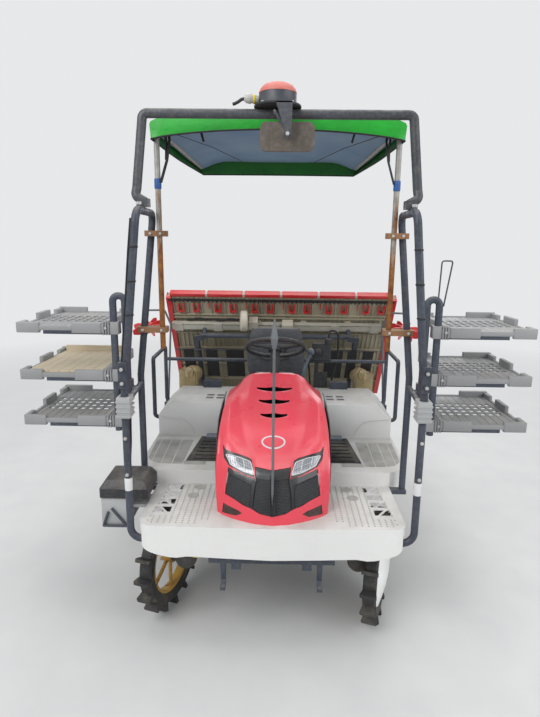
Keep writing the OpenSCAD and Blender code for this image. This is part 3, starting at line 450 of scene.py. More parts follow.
def dress(obj, finish, body, angle=40):
    """The finish, the shading and the body that a piece rides on"""
    obj.data.materials.clear()
    obj.data.materials.append(FINISHES[finish])
    crease(obj.data, angle)
    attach(obj, body)
    return obj


def bare_object(name, vertices, faces):
    mesh = bpy.data.meshes.new(name)
    mesh.from_pydata([tuple(v) for v in vertices], [], [tuple(f) for f in faces])
    mesh.update()
    return linked(name, mesh)


def finished_work(name, work):
    """An object out of a mesh that was worked on"""
    mesh = bpy.data.meshes.new(name)
    work.to_mesh(mesh)
    work.free()
    return linked(name, mesh)


def joined(shapes):
    """Several shapes as one"""
    vertices, faces = [], []
    for shape_vertices, shape_faces in shapes:
        start = len(vertices)
        vertices += shape_vertices
        faces += [tuple(start + i for i in face) for face in shape_faces]
    return vertices, faces


def piece(name, shapes, finish, body=CHASSIS, angle=40):
    """One piece out of several shapes"""
    return dress(bare_object(name, *joined(shapes)), finish, body, angle)


def applied(obj):
    """The piece with all its pending changes made, as plain mesh"""
    mesh = bpy.data.meshes.new_from_object(obj.evaluated_get(bpy.context.evaluated_depsgraph_get()))
    obj.modifiers.clear()
    obj.data = mesh
    return obj


def changed(obj, kind, **settings):
    """The piece after one change of this kind"""
    change = obj.modifiers.new(kind.lower(), kind)
    for key, value in settings.items():
        setattr(change, key, value)
    return applied(obj)


def cut(obj, shapes, operation="DIFFERENCE"):
    """Takes shapes away from a piece, or keeps only what lies in them"""
    for shape in shapes:
        tool = bare_object("cutting_tool", *shape)
        changed(obj, "BOOLEAN", operation=operation, solver="EXACT", object=tool)
        bpy.data.objects.remove(tool)
    return obj


def bevelled(obj, width, segments=2, angle=40):
    """Rounds the edges that are sharper than the angle, over a width in millimetres"""
    return changed(obj, "BEVEL", width=width / 1000, segments=segments, limit_method="ANGLE",
                   angle_limit=math.radians(angle))


def thickened(obj, thickness, offset=0.0, **settings):
    """A sheet with its thickness in millimetres, to both sides, or inwards where the offset is -1"""
    return changed(obj, "SOLIDIFY", thickness=thickness / 1000, offset=offset, **settings)


def smoothed(obj, levels):
    """A mesh with finer, rounder faces"""
    return changed(obj, "SUBSURF", levels=levels, render_levels=levels)


BOX_FACES = [(0, 2, 3, 1), (4, 5, 7, 6), (0, 1, 5, 4), (2, 6, 7, 3), (0, 4, 6, 2), (1, 3, 7, 5)]


def block(low, high, place=mm):
    """A box between two corners, in millimetres"""
    return [place(x, y, z) for z in (low[2], high[2]) for y in (low[1], high[1]) for x in (low[0], high[0])], BOX_FACES


def outward(vertices, faces):
    """The same faces, turned so that they look outwards"""
    work = bmesh.new()
    made = [work.verts.new(v) for v in vertices]
    for face in faces:
        work.faces.new([made[i] for i in face])
    bmesh.ops.recalc_face_normals(work, faces=work.faces[:])
    work.verts.index_update()
    result = [tuple(v.index for v in face.verts) for face in work.faces]
    work.free()
    return list(vertices), result


def extruded(outline, low, high, place):
    """An outline pushed from one height to another; place makes a point of its two measures and the height"""
    n = len(outline)
    vertices = [place(*p, height) for height in (low, high) for p in outline]
    faces = [tuple(range(n)), tuple(range(2 * n - 1, n - 1, -1))]
    faces += [(i, n + i, n + (i + 1) % n, (i + 1) % n) for i in range(n)]
    return outward(vertices, faces)


def prism(outline, low, high, axis="y"):
    """An outline pushed along an axis; it is given in X and Z along y, in Y and Z along x, in X and Y along z"""
    place = {"x": lambda y, z, x: mm(x, y, z), "y": lambda x, z, y: mm(x, y, z), "z": mm}[axis]
    return extruded(outline, low, high, place)


def rounded_outline(x0, y0, x1, y1, r, steps=4):
    """A rectangle with rounded corners, counter-clockwise"""
    ways = ((x1 - r, y0 + r, -90), (x1 - r, y1 - r, 0), (x0 + r, y1 - r, 90), (x0 + r, y0 + r, 180))
    return [(x + r * math.cos(math.radians(a + 90 * i / steps)), y + r * math.sin(math.radians(a + 90 * i / steps)))
            for x, y, a in ways for i in range(steps + 1)]


def rounded_path(corners, radius, steps=6):
    """Points along straight legs, with every corner rounded off"""
    corners = [Vector(c) for c in corners]
    path = [corners[0]]
    for before, corner, after in zip(corners, corners[1:], corners[2:]):
        a, b = (before - corner).normalized(), (after - corner).normalized()
        reach = min(radius, (before - corner).length * 0.49, (after - corner).length * 0.49)
        for i in range(steps + 1):
            t = i / steps
            path.append((corner + a * reach) * (1 - t) ** 2 + corner * 2 * t * (1 - t) + (corner + b * reach) * t * t)
    return path + [corners[-1]]


def turns(count, start=0.0):
    """Angles evenly spaced round a circle"""
    return [start + 2 * math.pi * k / count for k in range(count)]


def ring_faces(count, sides, closed=False):
    """The faces between rings of points; a row of rings that isn't closed gets its two ends"""
    faces = []
    for i in range(count if closed else count - 1):
        a, b = i * sides, (i + 1) % count * sides
        faces += [(a + k, a + (k + 1) % sides, b + (k + 1) % sides, b + k) for k in range(sides)]
    if not closed:
        faces += [tuple(range(sides - 1, -1, -1)), tuple((count - 1) * sides + k for k in range(sides))]
    return faces


def tube(points, d, sides=12, closed=False, flat=1.0):
    """A tube through points in millimetres; flat squeezes it into a strap"""
    points = [mm(*p) for p in points]
    n, rings, side = len(points), [], None
    for i, p in enumerate(points):
        ahead = points[(i + 1) % n] if closed or i < n - 1 else p
        behind = points[i - 1] if closed or i > 0 else p
        along = (ahead - behind).normalized()
        if side is None:
            side = along.orthogonal().normalized()
        side = (side - along * side.dot(along)).normalized()
        up = along.cross(side)
        rings += [p + (side * math.cos(a) + up * math.sin(a) * flat) * d / 2000 for a in turns(sides)]
    return rings, ring_faces(n, sides, closed)


def lathe(profile, centre, axis=(0, 0, 1), sides=48):
    """A turned shape: radius and height along the axis from its lower end up, in millimetres, from a centre"""
    turn = Vector(axis).normalized().to_track_quat("Z", "Y")
    vertices = [mm(*(Vector(centre) + turn @ Vector((r * math.cos(a), r * math.sin(a), h))))
                for r, h in profile for a in turns(sides)]
    return vertices, ring_faces(len(profile), sides)


def grid_mesh(rows):
    """A sheet through rows of points in millimetres"""
    count = len(rows[0])
    return ([mm(*p) for row in rows for p in row],
            [(j * count + i, j * count + i + 1, (j + 1) * count + i + 1, (j + 1) * count + i)
             for j in range(len(rows) - 1) for i in range(count - 1)])


def softened(node, width, angle=35, segments=2, shapes_cut=()):
    """A copy of a solid with its edges rounded, which stands for it"""
    work = bmesh.new()
    work.from_mesh(NODES[node].data)
    bmesh.ops.remove_doubles(work, verts=work.verts[:], dist=0.00002)
    obj = cut(finished_work(node + "_moulded", work), shapes_cut)
    dress(bevelled(obj, width, segments, angle), SLOT_OF[node], BODY_OF[node], 32)
    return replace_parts(obj, node)


def head_tree():
    """A tree that sets a small round head on every point, turned the way the point faces"""
    tree = bpy.data.node_groups.new("small_heads", "GeometryNodeTree")
    sockets = {}
    for name, kind, where in (("Places", "Geometry", "INPUT"), ("Radius", "Float", "INPUT"),
                              ("Height", "Float", "INPUT"), ("Sides", "Int", "INPUT"),
                              ("Finish", "Material", "INPUT"), ("Heads", "Geometry", "OUTPUT")):
        socket = tree.interface.new_socket(name, in_out=where, socket_type="NodeSocket" + kind)
        sockets[name] = socket.identifier
    start, end, head, tip, facing, turn, place, real, paint = (tree.nodes.new(kind) for kind in (
        "NodeGroupInput", "NodeGroupOutput", "GeometryNodeMeshCone", "ShaderNodeMath",
        "GeometryNodeInputNamedAttribute", "FunctionNodeAlignRotationToVector", "GeometryNodeInstanceOnPoints",
        "GeometryNodeRealizeInstances", "GeometryNodeSetMaterial"))
    tip.operation, tip.inputs[1].default_value = "MULTIPLY", 0.72
    facing.data_type = "FLOAT_VECTOR"
    facing.inputs["Name"].default_value = "facing"
    turn.axis = "Z"
    for a, output, b, socket in (
            (start, "Radius", head, "Radius Bottom"), (start, "Radius", tip, 0), (tip, 0, head, "Radius Top"),
            (start, "Height", head, "Depth"), (start, "Sides", head, "Vertices"), (start, "Places", place, "Points"),
            (head, "Mesh", place, "Instance"), (facing, "Attribute", turn, "Vector"),
            (turn, "Rotation", place, "Rotation"), (place, "Instances", real, "Geometry"),
            (real, "Geometry", paint, "Geometry"), (start, "Finish", paint, "Material"),
            (paint, "Geometry", end, "Heads")):
        tree.links.new(a.outputs[output], b.inputs[socket])
    return tree, sockets


HEADS, HEAD_SOCKETS = head_tree()


def heads(name, places, radius, height, finish, body=CHASSIS, sides=6):
    """Bolt heads, rivets or raised dots: each place is a point in millimetres and the way that it faces"""
    obj = bare_object(name, [mm(*p) for p, _ in places], [])
    facing = obj.data.attributes.new("facing", "FLOAT_VECTOR", "POINT")
    for value, (_, way) in zip(facing.data, places):
        value.vector = way
    spread = obj.modifiers.new("heads", "NODES")
    spread.node_group = HEADS
    for socket, value in (("Radius", radius / 1000), ("Height", height / 1000), ("Sides", sides),
                          ("Finish", FINISHES[finish])):
        spread[HEAD_SOCKETS[socket]] = value
    return dress(applied(obj), finish, body, 50)


# Overhead

# Sections of the canopy: distance along the machine, then half width and height of its hem, its edge and its top
CANOPY_ROWS = [
    (50, (642, 2652), (650, 2738), (455, 2792)),
    (350, (630, 2645), (648, 2733), (450, 2790)),
    (650, (615, 2637), (638, 2722), (440, 2777)),
    (950, (580, 2628), (620, 2706), (422, 2767)),
    (1250, (545, 2618), (596, 2688), (400, 2754)),
]
# Where a section keeps its edge and its top
EDGE, TOP = 2, 3


def canopy_section(row, steps=6):
    """Points across the canopy from its left hem over the top to its right hem"""
    y, *ways = row
    top = ways[-1]
    half = [(a[0] + (b[0] - a[0]) * t / steps, a[1] + (b[1] - a[1]) * t / steps)
            for a, b in zip(ways, ways[1:]) for t in range(steps)]
    # The edge and the top's border are rounded, and the cloth sags between them
    soft = [half[0]] + [((p[0] + 2 * q[0] + r[0]) / 4, (p[1] + 2 * q[1] + r[1]) / 4)
                        for p, q, r in zip(half, half[1:], half[2:] + [top])]
    flat = [(top[0] * (1 - t / 12), top[1]) for t in range(12)]
    left = [(-x, z) for x, z in soft + flat]
    return [(x, y, z) for x, z in left] + [(0, y, top[1])] + [(-x, y, z) for x, z in reversed(left)]


def edge_of(y, key):
    """Half width and height of the canopy's edge or top at a distance along the machine"""
    for a, b in zip(CANOPY_ROWS, CANOPY_ROWS[1:]):
        if y <= b[0]:
            t = (y - a[0]) / (b[0] - a[0])
            return tuple(p + (q - p) * t for p, q in zip(a[key], b[key]))
    return CANOPY_ROWS[-1][key]


def cloth_sections():
    """The canopy's sections from its front to its rear; the cloth hangs a little between its bows"""
    first_bow, bow_pitch, sag = 140, 520, 9
    sections = []
    for a, b in zip(CANOPY_ROWS, CANOPY_ROWS[1:]):
        for t in (i / 6 for i in range(6)):
            row = [a[0] + (b[0] - a[0]) * t] + [tuple(p + (q - p) * t for p, q in zip(m, n))
                                               for m, n in zip(a[1:], b[1:])]
            dip = sag * math.sin(math.pi * ((row[0] - first_bow) / bow_pitch % 1.0)) if row[0] > first_bow else 0
            sections.append([(x, y, z - dip * (1 - abs(x) / 700)) for x, y, z in canopy_section(row)])
    return sections + [canopy_section(CANOPY_ROWS[-1])]


def cloth_end(edge, rise, steps, out):
    """The band that hangs from an end of the cloth, down to an arched or a straight lower edge"""
    last = len(edge) - 1
    hem = [(edge[0][0] * (1 - 2 * i / last), edge[0][2] + rise * (1 - (2 * i / last - 1) ** 2) ** 0.8)
           for i in range(last + 1)]
    return [[(p[0] + (h[0] - p[0]) * t / steps, p[1] + out * math.sin(1.5 * t / steps),
              p[2] + (h[1] - p[2]) * t / steps) for p, h in zip(edge, hem)] for t in range(steps, 0, -1)]


def make_canopy():
    sections = cloth_sections()
    front = cloth_end(sections[0], 50, 5, -7)
    rear = cloth_end(sections[-1], 2, 6, 9)[::-1]
    rows = front + sections + rear
    cloth = bare_object("canopy_cloth", *grid_mesh(rows))
    # The outside and the inside of the top, and then of the hanging edges, whose inside is the green cloth made
    # darker: painted shade
    for name in ("canopy_cloth", "canopy_inside", "canopy_cloth", "canopy_shade"):
        cloth.data.materials.append(FINISHES[name])
    across = len(rows[0]) - 1
    for polygon in cloth.data.polygons:
        j, i = divmod(polygon.index, across)
        on_top = len(front) <= j < len(rows) - 1 - len(rear) and 6 <= i < across - 6
        polygon.material_index = 0 if on_top else 2
    thickened(cloth, 3, use_even_offset=False, material_offset=1)
    crease(cloth.data, 60)
    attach(cloth, CHASSIS)
    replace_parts(cloth, "canopy")
    # Dark binding along the hem, all the way round
    ring = rows[0] + [row[-1] for row in rows[1:-1]] + rows[-1][::-1] + [row[0] for row in reversed(rows[1:-1])]
    hem = piece("canopy_hem", [tube(ring[::2], 9, 6, closed=True)], "black_trim", angle=80)

    lining = bare_object("canopy_lining", *grid_mesh([lining_row(k / 12) for k in range(13)]))
    lining.data.flip_normals()
    smoothed(lining, 1)
    dress(thickened(lining, 2), "canopy_inside", CHASSIS, 60)

    # Straps that hang at the front corners, stays under the cloth and ties down to the poles
    straps = []
    for side in SIDES:
        for diameter, sides, flat, points in (
                (16, 6, 0.2, [(402, 130, 2742), (398, 132, 2700), (386, 130, 2655)]),
                (18, 6, 0.2, [(582, 112, 2690), (578, 112, 2620), (580, 110, 2560)]),
                (17, 8, 0.5, [(566, 124, 2704), (562, 116, 2660), (575, 104, 2560), (608, 92, 2446)]),
                (4, 6, 1.0, [(560, 120, 2698), (400, 620, 2706), (235, 1170, 2690)])):
            straps.append(tube([(side * x, y, z) for x, y, z in points], diameter, sides, flat=flat))
    piece("canopy_straps", straps, "black_trim")
    piece("pole_tape", [lathe([(17.5, -26), (18.6, -20), (18.4, 18), (17.2, 26)], (side * 626.5, 102, 2440), sides=20)
                        for side in SIDES], "blue_tape", angle=50)


def lining_row(t):
    """Points across the lining a share of the way back, stretched under the bows from rail to rail"""
    y = 78 + t * 1150
    edge, top = edge_of(y, EDGE), edge_of(y, TOP)
    dip = 7 * math.sin(math.pi * (t * 2.2 % 1.0))
    half = [(edge[0] - 12 - 26 * t, edge[1] - 34), (edge[0] - 60, edge[1] - 30), (top[0] + 30, top[1] - 46),
            (top[0] - 60, top[1] - 42), (top[0] * 0.5, top[1] - 46)]
    return ([(-x, y, z - dip) for x, z in half] + [(0, y, top[1] - 47 - dip)]
            + [(x, y, z - dip) for x, z in reversed(half)])


def make_canopy_frame():
    """Poles with their rails, bows over them, and the clamps that hold the poles to the side frames"""
    tubes = [tube(rounded_path([(side * 625, 102, 1560), (side * 627, 102, 2716), (side * 556, 1214, 2664)], 60),
                  30, 16) for side in SIDES]
    for y in (150, 690, 1200):
        edge, top = edge_of(y, EDGE), edge_of(y, TOP)
        half = [(edge[0] - 26, y, edge[1] - 22), (top[0], y, top[1] - 17)]
        tubes.append(tube(rounded_path([(-x, y, z) for x, y, z in half] + half[::-1], 60), 22))
    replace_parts(piece("canopy_frame", tubes, "rusty_tube", angle=50), "canopy_poles")
    clamps, bolts = [], []
    for side in SIDES:
        for x0, x1, z in ((-765, -597, 1650), (-705, -587, 2170)):
            low, high = sorted((side * x0, side * x1))
            clamps.append(prism(rounded_outline(low, 76, high, 156, 16), z, z + 30, "z"))
            bolts += [((side * x, 74, z + 15), (0, -1, 0)) for x in (x0 + 34, x1 - 30)]
    piece("pole_clamps", clamps, "rusty_clamp", angle=30)
    heads("pole_clamp_bolts", bolts, 9, 8, "bolt_steel")


make_canopy_frame()
make_canopy()


def make_antenna():
    foot = (0, -100, 2765)
    piece("antenna_base", [
        block((-62, -150, 2762), (62, -50, 2768)),
        lathe([(104, 1), (112, 4), (113, 10), (110, 15), (96, 18), (60, 18)], foot),
    ], "black_trim", angle=35)
    piece("antenna_body", [lathe([(93, 16), (90, 20), (89, 66), (84, 67)], foot, sides=56)], "charcoal_plastic")
    piece("antenna_dome", [lathe([(88, 66), (90, 67), (90, 70), (84, 84), (72, 99), (58, 107), (38, 110.5),
                                  (16, 111.8), (2, 112)], foot, sides=56)], "salmon_dome", angle=60)
    heads("antenna_bolts", [((x, y, 2783), (0, 0, 1)) for x, y in ((-70, -164), (70, -164), (-70, -36), (70, -36))],
          6, 5, "bolt_steel")
    plug = Vector((-88, -112, 2802))
    way = (-0.97, 0.0, 0.12)
    piece("antenna_plug", [lathe([(15, 0), (19, 8), (19, 34), (23, 40), (22, 58), (15, 70)], plug, way, 20)],
          "pale_plastic")
    piece("antenna_plug_ring", [lathe([(20, 0), (21.5, 2), (21.5, 7), (20, 9)], plug + Vector((-17, 0, 2)), way, 20)],
          "yellow_plastic")
    lead = [plug + Vector(step) for step in ((-64, 0, 6), (-84, 2, 2), (-100, 6, -8), (-116, 9, -15), (-126, 10, -17))]
    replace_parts(piece("antenna_plug_boot", [tube(lead, 15)], "black_trim"), "antenna_unit")


make_antenna()

# A tapered arm that carries the mirror, over its rod
piece("mirror_arm", [
    prism([(-8, 2771), (68, 2771), (66, 2660), (61, 2622), (47, 2608), (33, 2622), (28, 2660)], -233, -227),
    block((-8, -233, 2765), (68, -100, 2771)),
], "hoop_paint", angle=30)
heads("mirror_bolt", [((47, -236, 2632), (0, -1, 0)), ((14, -160, 2773), (0, 0, 1)), ((46, -160, 2773), (0, 0, 1))],
      10, 9, "bolt_steel")


# Bonnet

# Levels of the bonnet: height, then X and Y of the points on its side, corner, fender, the valley beside the
# ridge and the ridge, and the middle's Y
BONNET_ROWS = [
    (725.5, (300, -120), (282, -208), (200, -272), (140, -300), (85, -322), -335),
    (762, (304, -112), (286, -196), (203, -260), (140, -290), (85, -311), -324),
    (800, (308, -105), (290, -185), (205, -248), (140, -280), (85, -300), -312),
    (870, (312, -90), (294, -160), (210, -222), (140, -258), (85, -278), -290),
    (950, (314, -65), (296, -125), (215, -185), (135, -222), (85, -240), -250),
    (1000, (314, -35), (295, -95), (222, -142), (126, -174), (86, -190), -196),
    (1084, (311, 20), (289, -38), (236, -62), (158, -34), (108, -50), -60),
    (1166, (304, 150), (284, 92), (246, 66), (192, 86), (132, 74), 64),
    (1220, (290, 250), (274, 205), (250, 182), (214, 200), (146, 180), 168),
    (1250, (250, 322), (240, 290), (226, 270), (200, 256), (152, 236), 224),
    (1280, (216, 372), (211, 350), (202, 335), (186, 318), (156, 296), 284),
    (1314, (186, 412), (183, 398), (176, 388), (163, 376), (138, 362), 352),
    (1338, (142, 426), (138, 418), (128, 412), (110, 406), (82, 400), 397),
    (1346, (96, 430), (92, 426), (84, 422), (72, 418), (50, 414), 412),
]
BONNET_REAR = 430
ACROSS_STEPS, UP_STEPS = 5, 5
BONNET_COUNT = 12 * ACROSS_STEPS + 1


def spline(values, t):
    """A point on the smooth curve through evenly spaced values"""
    i = min(int(t), len(values) - 2)
    u = t - i
    p1, p2 = values[i], values[i + 1]
    p0 = values[i - 1] if i else p1 * 2 - p2
    p3 = values[i + 2] if i + 2 < len(values) else p2 * 2 - p1
    return (p1 * 2 + (p2 - p0) * u + (p0 * 2 - p1 * 5 + p2 * 4 - p3) * u * u
            + (p1 * 3 - p0 - p2 * 3 + p3) * u * u * u) / 2


def bonnet_rows():
    """The bonnet's surface as rows of points in millimetres"""
    rails = []
    for key in range(7):
        line = []
        for row in BONNET_ROWS:
            x, y = {0: (row[1][0], BONNET_REAR), 6: (0, row[6])}.get(key) or row[key]
            line.append(Vector((x, y, row[0])))
        rails.append(line)
    rows = []
    for j in range((len(BONNET_ROWS) - 1) * UP_STEPS + 1):
        keys = [spline(line, j / UP_STEPS) for line in rails]
        # Two straight lengths run back along the side, round curves the corner, and the ridges stay crisp
        half = []
        for i in range(6):
            for k in range(ACROSS_STEPS):
                u = k / ACROSS_STEPS
                if i in (1, 2):
                    half.append(spline(keys[0:1] + keys[1:5], i + u))
                else:
                    ease = u if i != 3 else u * 0.75 + 0.25 * (3 * u * u - 2 * u ** 3)
                    half.append(keys[i].lerp(keys[i + 1], ease))
        rows.append([Vector((-p.x, p.y, p.z)) for p in half] + [keys[6]] + half[::-1])
    return rows


def mirrored(outline):
    return [(-x, z) for x, z in reversed(outline)]


def symmetric(outline):
    """A closed outline whose left half mirrors the right half; the points run from the middle to the middle"""
    return outline + [(-x, z) for x, z in reversed(outline) if abs(x) > 0.01]


GRILLE = symmetric([(0, 766), (66, 776), (109, 796), (152, 803), (199, 821), (254, 834), (240, 968), (151, 948),
                    (90, 942), (96, 991), (0, 980)])
GRILLE_MIDDLE = symmetric([(0, 770), (62, 779), (100, 800), (97, 862), (78, 944), (0, 938)])
GRILLE_SIDE = [(120, 806), (152, 812), (199, 830), (245, 842), (236, 934), (150, 918), (112, 906), (112, 860)]
BAND_SIDE = [(92, 944), (150, 950), (238, 968), (237, 940), (150, 922), (112, 910), (108, 926)]
GRILLE_CREASE = [(84, 948), (108, 924), (110, 866), (113, 802), (106, 796), (101, 806), (97, 866)]
LAMP = [(277, 1062), (266, 1002), (238, 975), (151, 950), (92, 944), (112, 1011), (131, 1018), (188, 1028),
        (258, 1042)]
LAMP_GLASS = [(257, 1022), (234, 983), (157, 963), (97, 957), (118, 1004), (192, 1017)]
LOW_LAMP = [(262, 788), (268, 736), (190, 744), (156, 764), (181, 775)]
# Side view of what lies behind the bonnet's seam, in Y and Z
SEAM = [(-78, 700), (-10, 900), (20, 1000), (118, 1160), (190, 1206), (250, 1222), (500, 1226), (500, 700)]


def crescent(z, half):
    """A louvre's opening, its ends turned up"""
    low = [(half * t / 6, z + 9 * abs(t / 6) ** 2.5 - 5) for t in range(-6, 7)]
    return low + [(x * 0.97, y + 21 - 13 * abs(x / half)) for x, y in reversed(low)]


BONNET_SURFACE = BVHTree.FromPolygons(*grid_mesh(bonnet_rows()))


def on_bonnet(x, z):
    """The bonnet's front face at a place seen from the front, in the frame's metres"""
    hit, normal, *_ = BONNET_SURFACE.ray_cast(mm(x, -900, z), Vector((0, 1, 0)))
    if hit is None:
        hit, normal, *_ = BONNET_SURFACE.find_nearest(mm(x, -200, z))
    return hit, (normal if normal.y < 0 else -normal)


def facing_patch(name, outlines, out, thick, finish, step=11):
    """Plates that follow the bonnet within outlines seen from the front, standing out by a distance"""
    work = bmesh.new()
    for outline in outlines:
        work.faces.new([work.verts.new((x, 0, z)) for x, z in outline])
    for way, low, high in ((Vector((1, 0, 0)), -340, 340), (Vector((0, 0, 1)), 640, 1400)):
        for level in range(low, high, step):
            bmesh.ops.bisect_plane(work, geom=work.verts[:] + work.edges[:] + work.faces[:], plane_co=way * level,
                                   plane_no=way, dist=0.01)
    for vertex in work.verts:
        hit, normal = on_bonnet(vertex.co.x, vertex.co.z)
        vertex.co = hit + normal * out / 1000
    for face in work.faces:
        face.normal_update()
        if face.normal.y > 0:
            face.normal_flip()
    return dress(thickened(finished_work(name, work), thick, -1.0), finish, BONNET_BODY)


def inside(point, outline):
    x, z = point
    odd = False
    for (ax, az), (bx, bz) in zip(outline, outline[1:] + outline[:1]):
        if (az > z) != (bz > z) and x < ax + (z - az) * (bx - ax) / (bz - az):
            odd = not odd
    return odd


def honeycomb(name, outlines, cell, wire, out, finish):
    """A net of six-sided cells over the surface, inside outlines seen from the front"""
    work = bmesh.new()
    corners = {}

    def corner(x, z):
        key = (round(x, 1), round(z, 1))
        if key not in corners:
            hit, normal = on_bonnet(x, z)
            corners[key] = work.verts.new(hit + normal * out / 1000)
        return corners[key]

    across, up = cell, cell * math.sqrt(3) / 2 * 0.62
    for row in range(-4, int(260 / up)):
        for column in range(-int(300 / across), int(300 / across) + 1):
            cx, cz = (column + (row % 2) / 2) * across, 766 + row * up
            if any(inside((cx, cz), outline) for outline in outlines):
                ring = [corner(cx + dx * across, cz + dz * up) for dx, dz in
                        ((0, 0.667), (-0.5, 0.333), (-0.5, -0.333), (0, -0.667), (0.5, -0.333), (0.5, 0.333))]
                if len(set(ring)) == 6:
                    work.faces.new(ring)
    net = changed(finished_work(name, work), "WIREFRAME", thickness=wire / 1000, use_even_offset=False)
    return dress(net, finish, BONNET_BODY, 30)


def make_bonnet():
    shell = bare_object("bonnet_moulded", *grid_mesh(bonnet_rows()))
    work = bmesh.new()
    work.from_mesh(shell.data)
    # The crown is closed over the last level
    work.verts.ensure_lookup_table()
    work.faces.new(work.verts[-BONNET_COUNT:])
    bmesh.ops.recalc_face_normals(work, faces=work.faces[:])
    front = min(work.faces, key=lambda face: (face.calc_center_median() - mm(60, -250, 900)).length)
    if front.normal.y > 0:
        bmesh.ops.reverse_faces(work, faces=work.faces[:])
    work.to_mesh(shell.data)
    work.free()
    thickened(shell, 5, -1.0)
    panels = linked("side_panels", shell.data.copy())
    cut(shell, [prism(SEAM, -700, 700, "x")])
    cut(shell, [prism(outline, -600, 420) for outline in (
        GRILLE, LAMP, mirrored(LAMP), LOW_LAMP, mirrored(LOW_LAMP), crescent(1274, 108), crescent(1225, 92),
        crescent(1173, 78))])
    dress(bevelled(shell, 2.5, angle=48), "bonnet_plastic", BONNET_BODY, 36)
    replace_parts(shell, "bonnet")

    # The dark panels stand a little wider than the bonnet and reach up behind its seam
    for vertex in panels.data.vertices:
        x, _, z = vertex.co
        vertex.co.x *= 1.0 + 0.014 / abs(x) if abs(x) > 0.18 else 1.02
        vertex.co.y -= 0.004
        vertex.co.z += 0.004 if z > 1.2 else 0.0
    cut(panels, [prism([(y + 2, z - 2 if z > 700 else z) for y, z in SEAM], -700, 700, "x")], "INTERSECT")
    cut(panels, [block((-172, 0, 700), (172, 600, 1500))])
    dress(panels, "dark_plastic", CHASSIS, 36)
    console = piece("console", [
        prism([(-296, 811), (296, 811), (296, 1160), (250, 1236), (160, 1296), (110, 1330), (-110, 1330), (-160, 1296),
               (-250, 1236), (-296, 1160)], 446, 500),
        tube([(0, 500, 1250), (0, 507, 1290), (0, 520, 1340), (0, 552, 1460)], 62, 24),
        prism([(-150, 1180), (150, 1180), (120, 1330), (-120, 1330)], 499, 520),
    ], "dark_plastic", angle=35)
    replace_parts(console, "steering_column")

    # Grille: smooth black band, mesh windows, and the creases that run down beside the middle
    # The shell is the grille's black plastic, and behind the mesh it also fills the cells, where there is only shade:
    # painted shade
    dark = facing_patch("grille_shell", [[(x * 0.996, z) for x, z in GRILLE]], -5, 5, "black_grille")
    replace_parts(dark, "bonnet_grille")
    # The mesh's wire is grey for its highlights: painted highlight
    honeycomb("grille_mesh", [GRILLE_MIDDLE, GRILLE_SIDE, mirrored(GRILLE_SIDE)], 13, 2.6, -3.5, "grille_wire")
    facing_patch("grille_band", [symmetric([(0, 938), (78, 944), (84, 946), (94, 989), (0, 978)]),
                                 BAND_SIDE, mirrored(BAND_SIDE)], 0, 4, "black_gloss")
    for side, name in zip(SIDES, ("grille_crease_right", "grille_crease_left")):
        facing_patch(name, [[(side * x, z) for x, z in GRILLE_CREASE]], 3, 7, "black_gloss")
    # Slot for the centre pole, with its two cheeks
    cheeks = [prism([(-344, 786), (-262, 962), (-240, 962), (-300, 786)], side * 10.5, side * 14, "x")
              for side in SIDES]
    back = prism([(-318, 782), (-246, 950), (-236, 950), (-304, 782)], -12, 12, "x")
    piece("pole_slot", cheeks + [back], "black_gloss", BONNET_BODY)

    # Lamps
    surround = facing_patch("lamp_surround", [LAMP, mirrored(LAMP)], -3, 7, "black_gloss")
    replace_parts(surround, "headlamps")
    facing_patch("lamp_glass", [LAMP_GLASS, mirrored(LAMP_GLASS)], -1, 3, "bright_lens")
    facing_patch("low_lamps", [LOW_LAMP, mirrored(LOW_LAMP)], -3, 3, "brown_lens")
    rims = []
    for side in SIDES:
        loop = rounded_path([(x, 0, z) for x, z in LAMP_GLASS + LAMP_GLASS[:2]], 9, 4)[5:-1]
        rims.append(tube(follow([(side * p.x, p.z) for p in loop], 1.5), 5.5, 8, closed=True))
        # Bars between the cells, and one along them
        for bar, out, diameter, sides in (([(212, 1017), (204, 990), (195, 973)], 1.0, 4.5, 8),
                                          ([(161, 1010), (153, 990), (144, 962)], 1.0, 4.5, 8),
                                          ([(236, 1003), (190, 995), (110, 981)], 0.6, 2.5, 6)):
            rims.append(tube(follow([(side * x, z) for x, z in bar], out), diameter, sides))
    piece("lamp_frames", rims, "lamp_chrome", BONNET_BODY, 80)
    oval = [(66 * math.cos(a), 1077 + 24 * math.sin(a)) for a in turns(40)]
    facing_patch("bonnet_plate", [oval], 3, 4, "lamp_chrome", 9)
    facing_patch("bonnet_plate_face", [[(x * 0.86, 1077 + (z - 1077) * 0.8) for x, z in oval]], 3.8, 2,
                 "bonnet_plastic", 9)


def follow(points, out):
    """Points seen from the front, laid on the bonnet's surface, as millimetres of the source"""
    places = []
    for x, z in points:
        hit, normal = on_bonnet(x, z)
        place = (hit + normal * out / 1000) * 1000
        places.append((place.x, place.y + MIDDLE_Y * 1000, place.z))
    return places


make_bonnet()


# Deck

FLOOR_Z, STEP_Z = 725, 810
SKIRT_WAVE = [(-720, 480), (-720, 640), (-700, 614), (-660, 585), (-600, 563), (-530, 549), (-490, 548), (-440, 557),
              (-380, 556), (0, 545.5), (380, 556), (440, 557), (490, 548), (530, 549), (600, 563), (660, 585),
              (700, 614), (720, 640), (720, 480)]


# Grey anti-slip panels on the step, outside the mats: corners in X and Y
STEP_PANELS = ([(562, 240), (622, 238), (628, 640), (554, 640)], [(630, 238), (690, 244), (698, 640), (636, 640)],
               [(698, 246), (752, 268), (764, 640), (706, 640)], [(760, 276), (790, 330), (800, 640), (772, 640)],
               [(420, 230), (554, 231), (552, 280), (422, 280)])


def dotted(x, y):
    """Whether the floor has a raised dot here: its outer middle has none, nor have its front and rear edges"""
    return not (x > 545 and -235 < y < 170 or x < 400 and y < -290 or y > 140 - (x - 330) * 0.05)


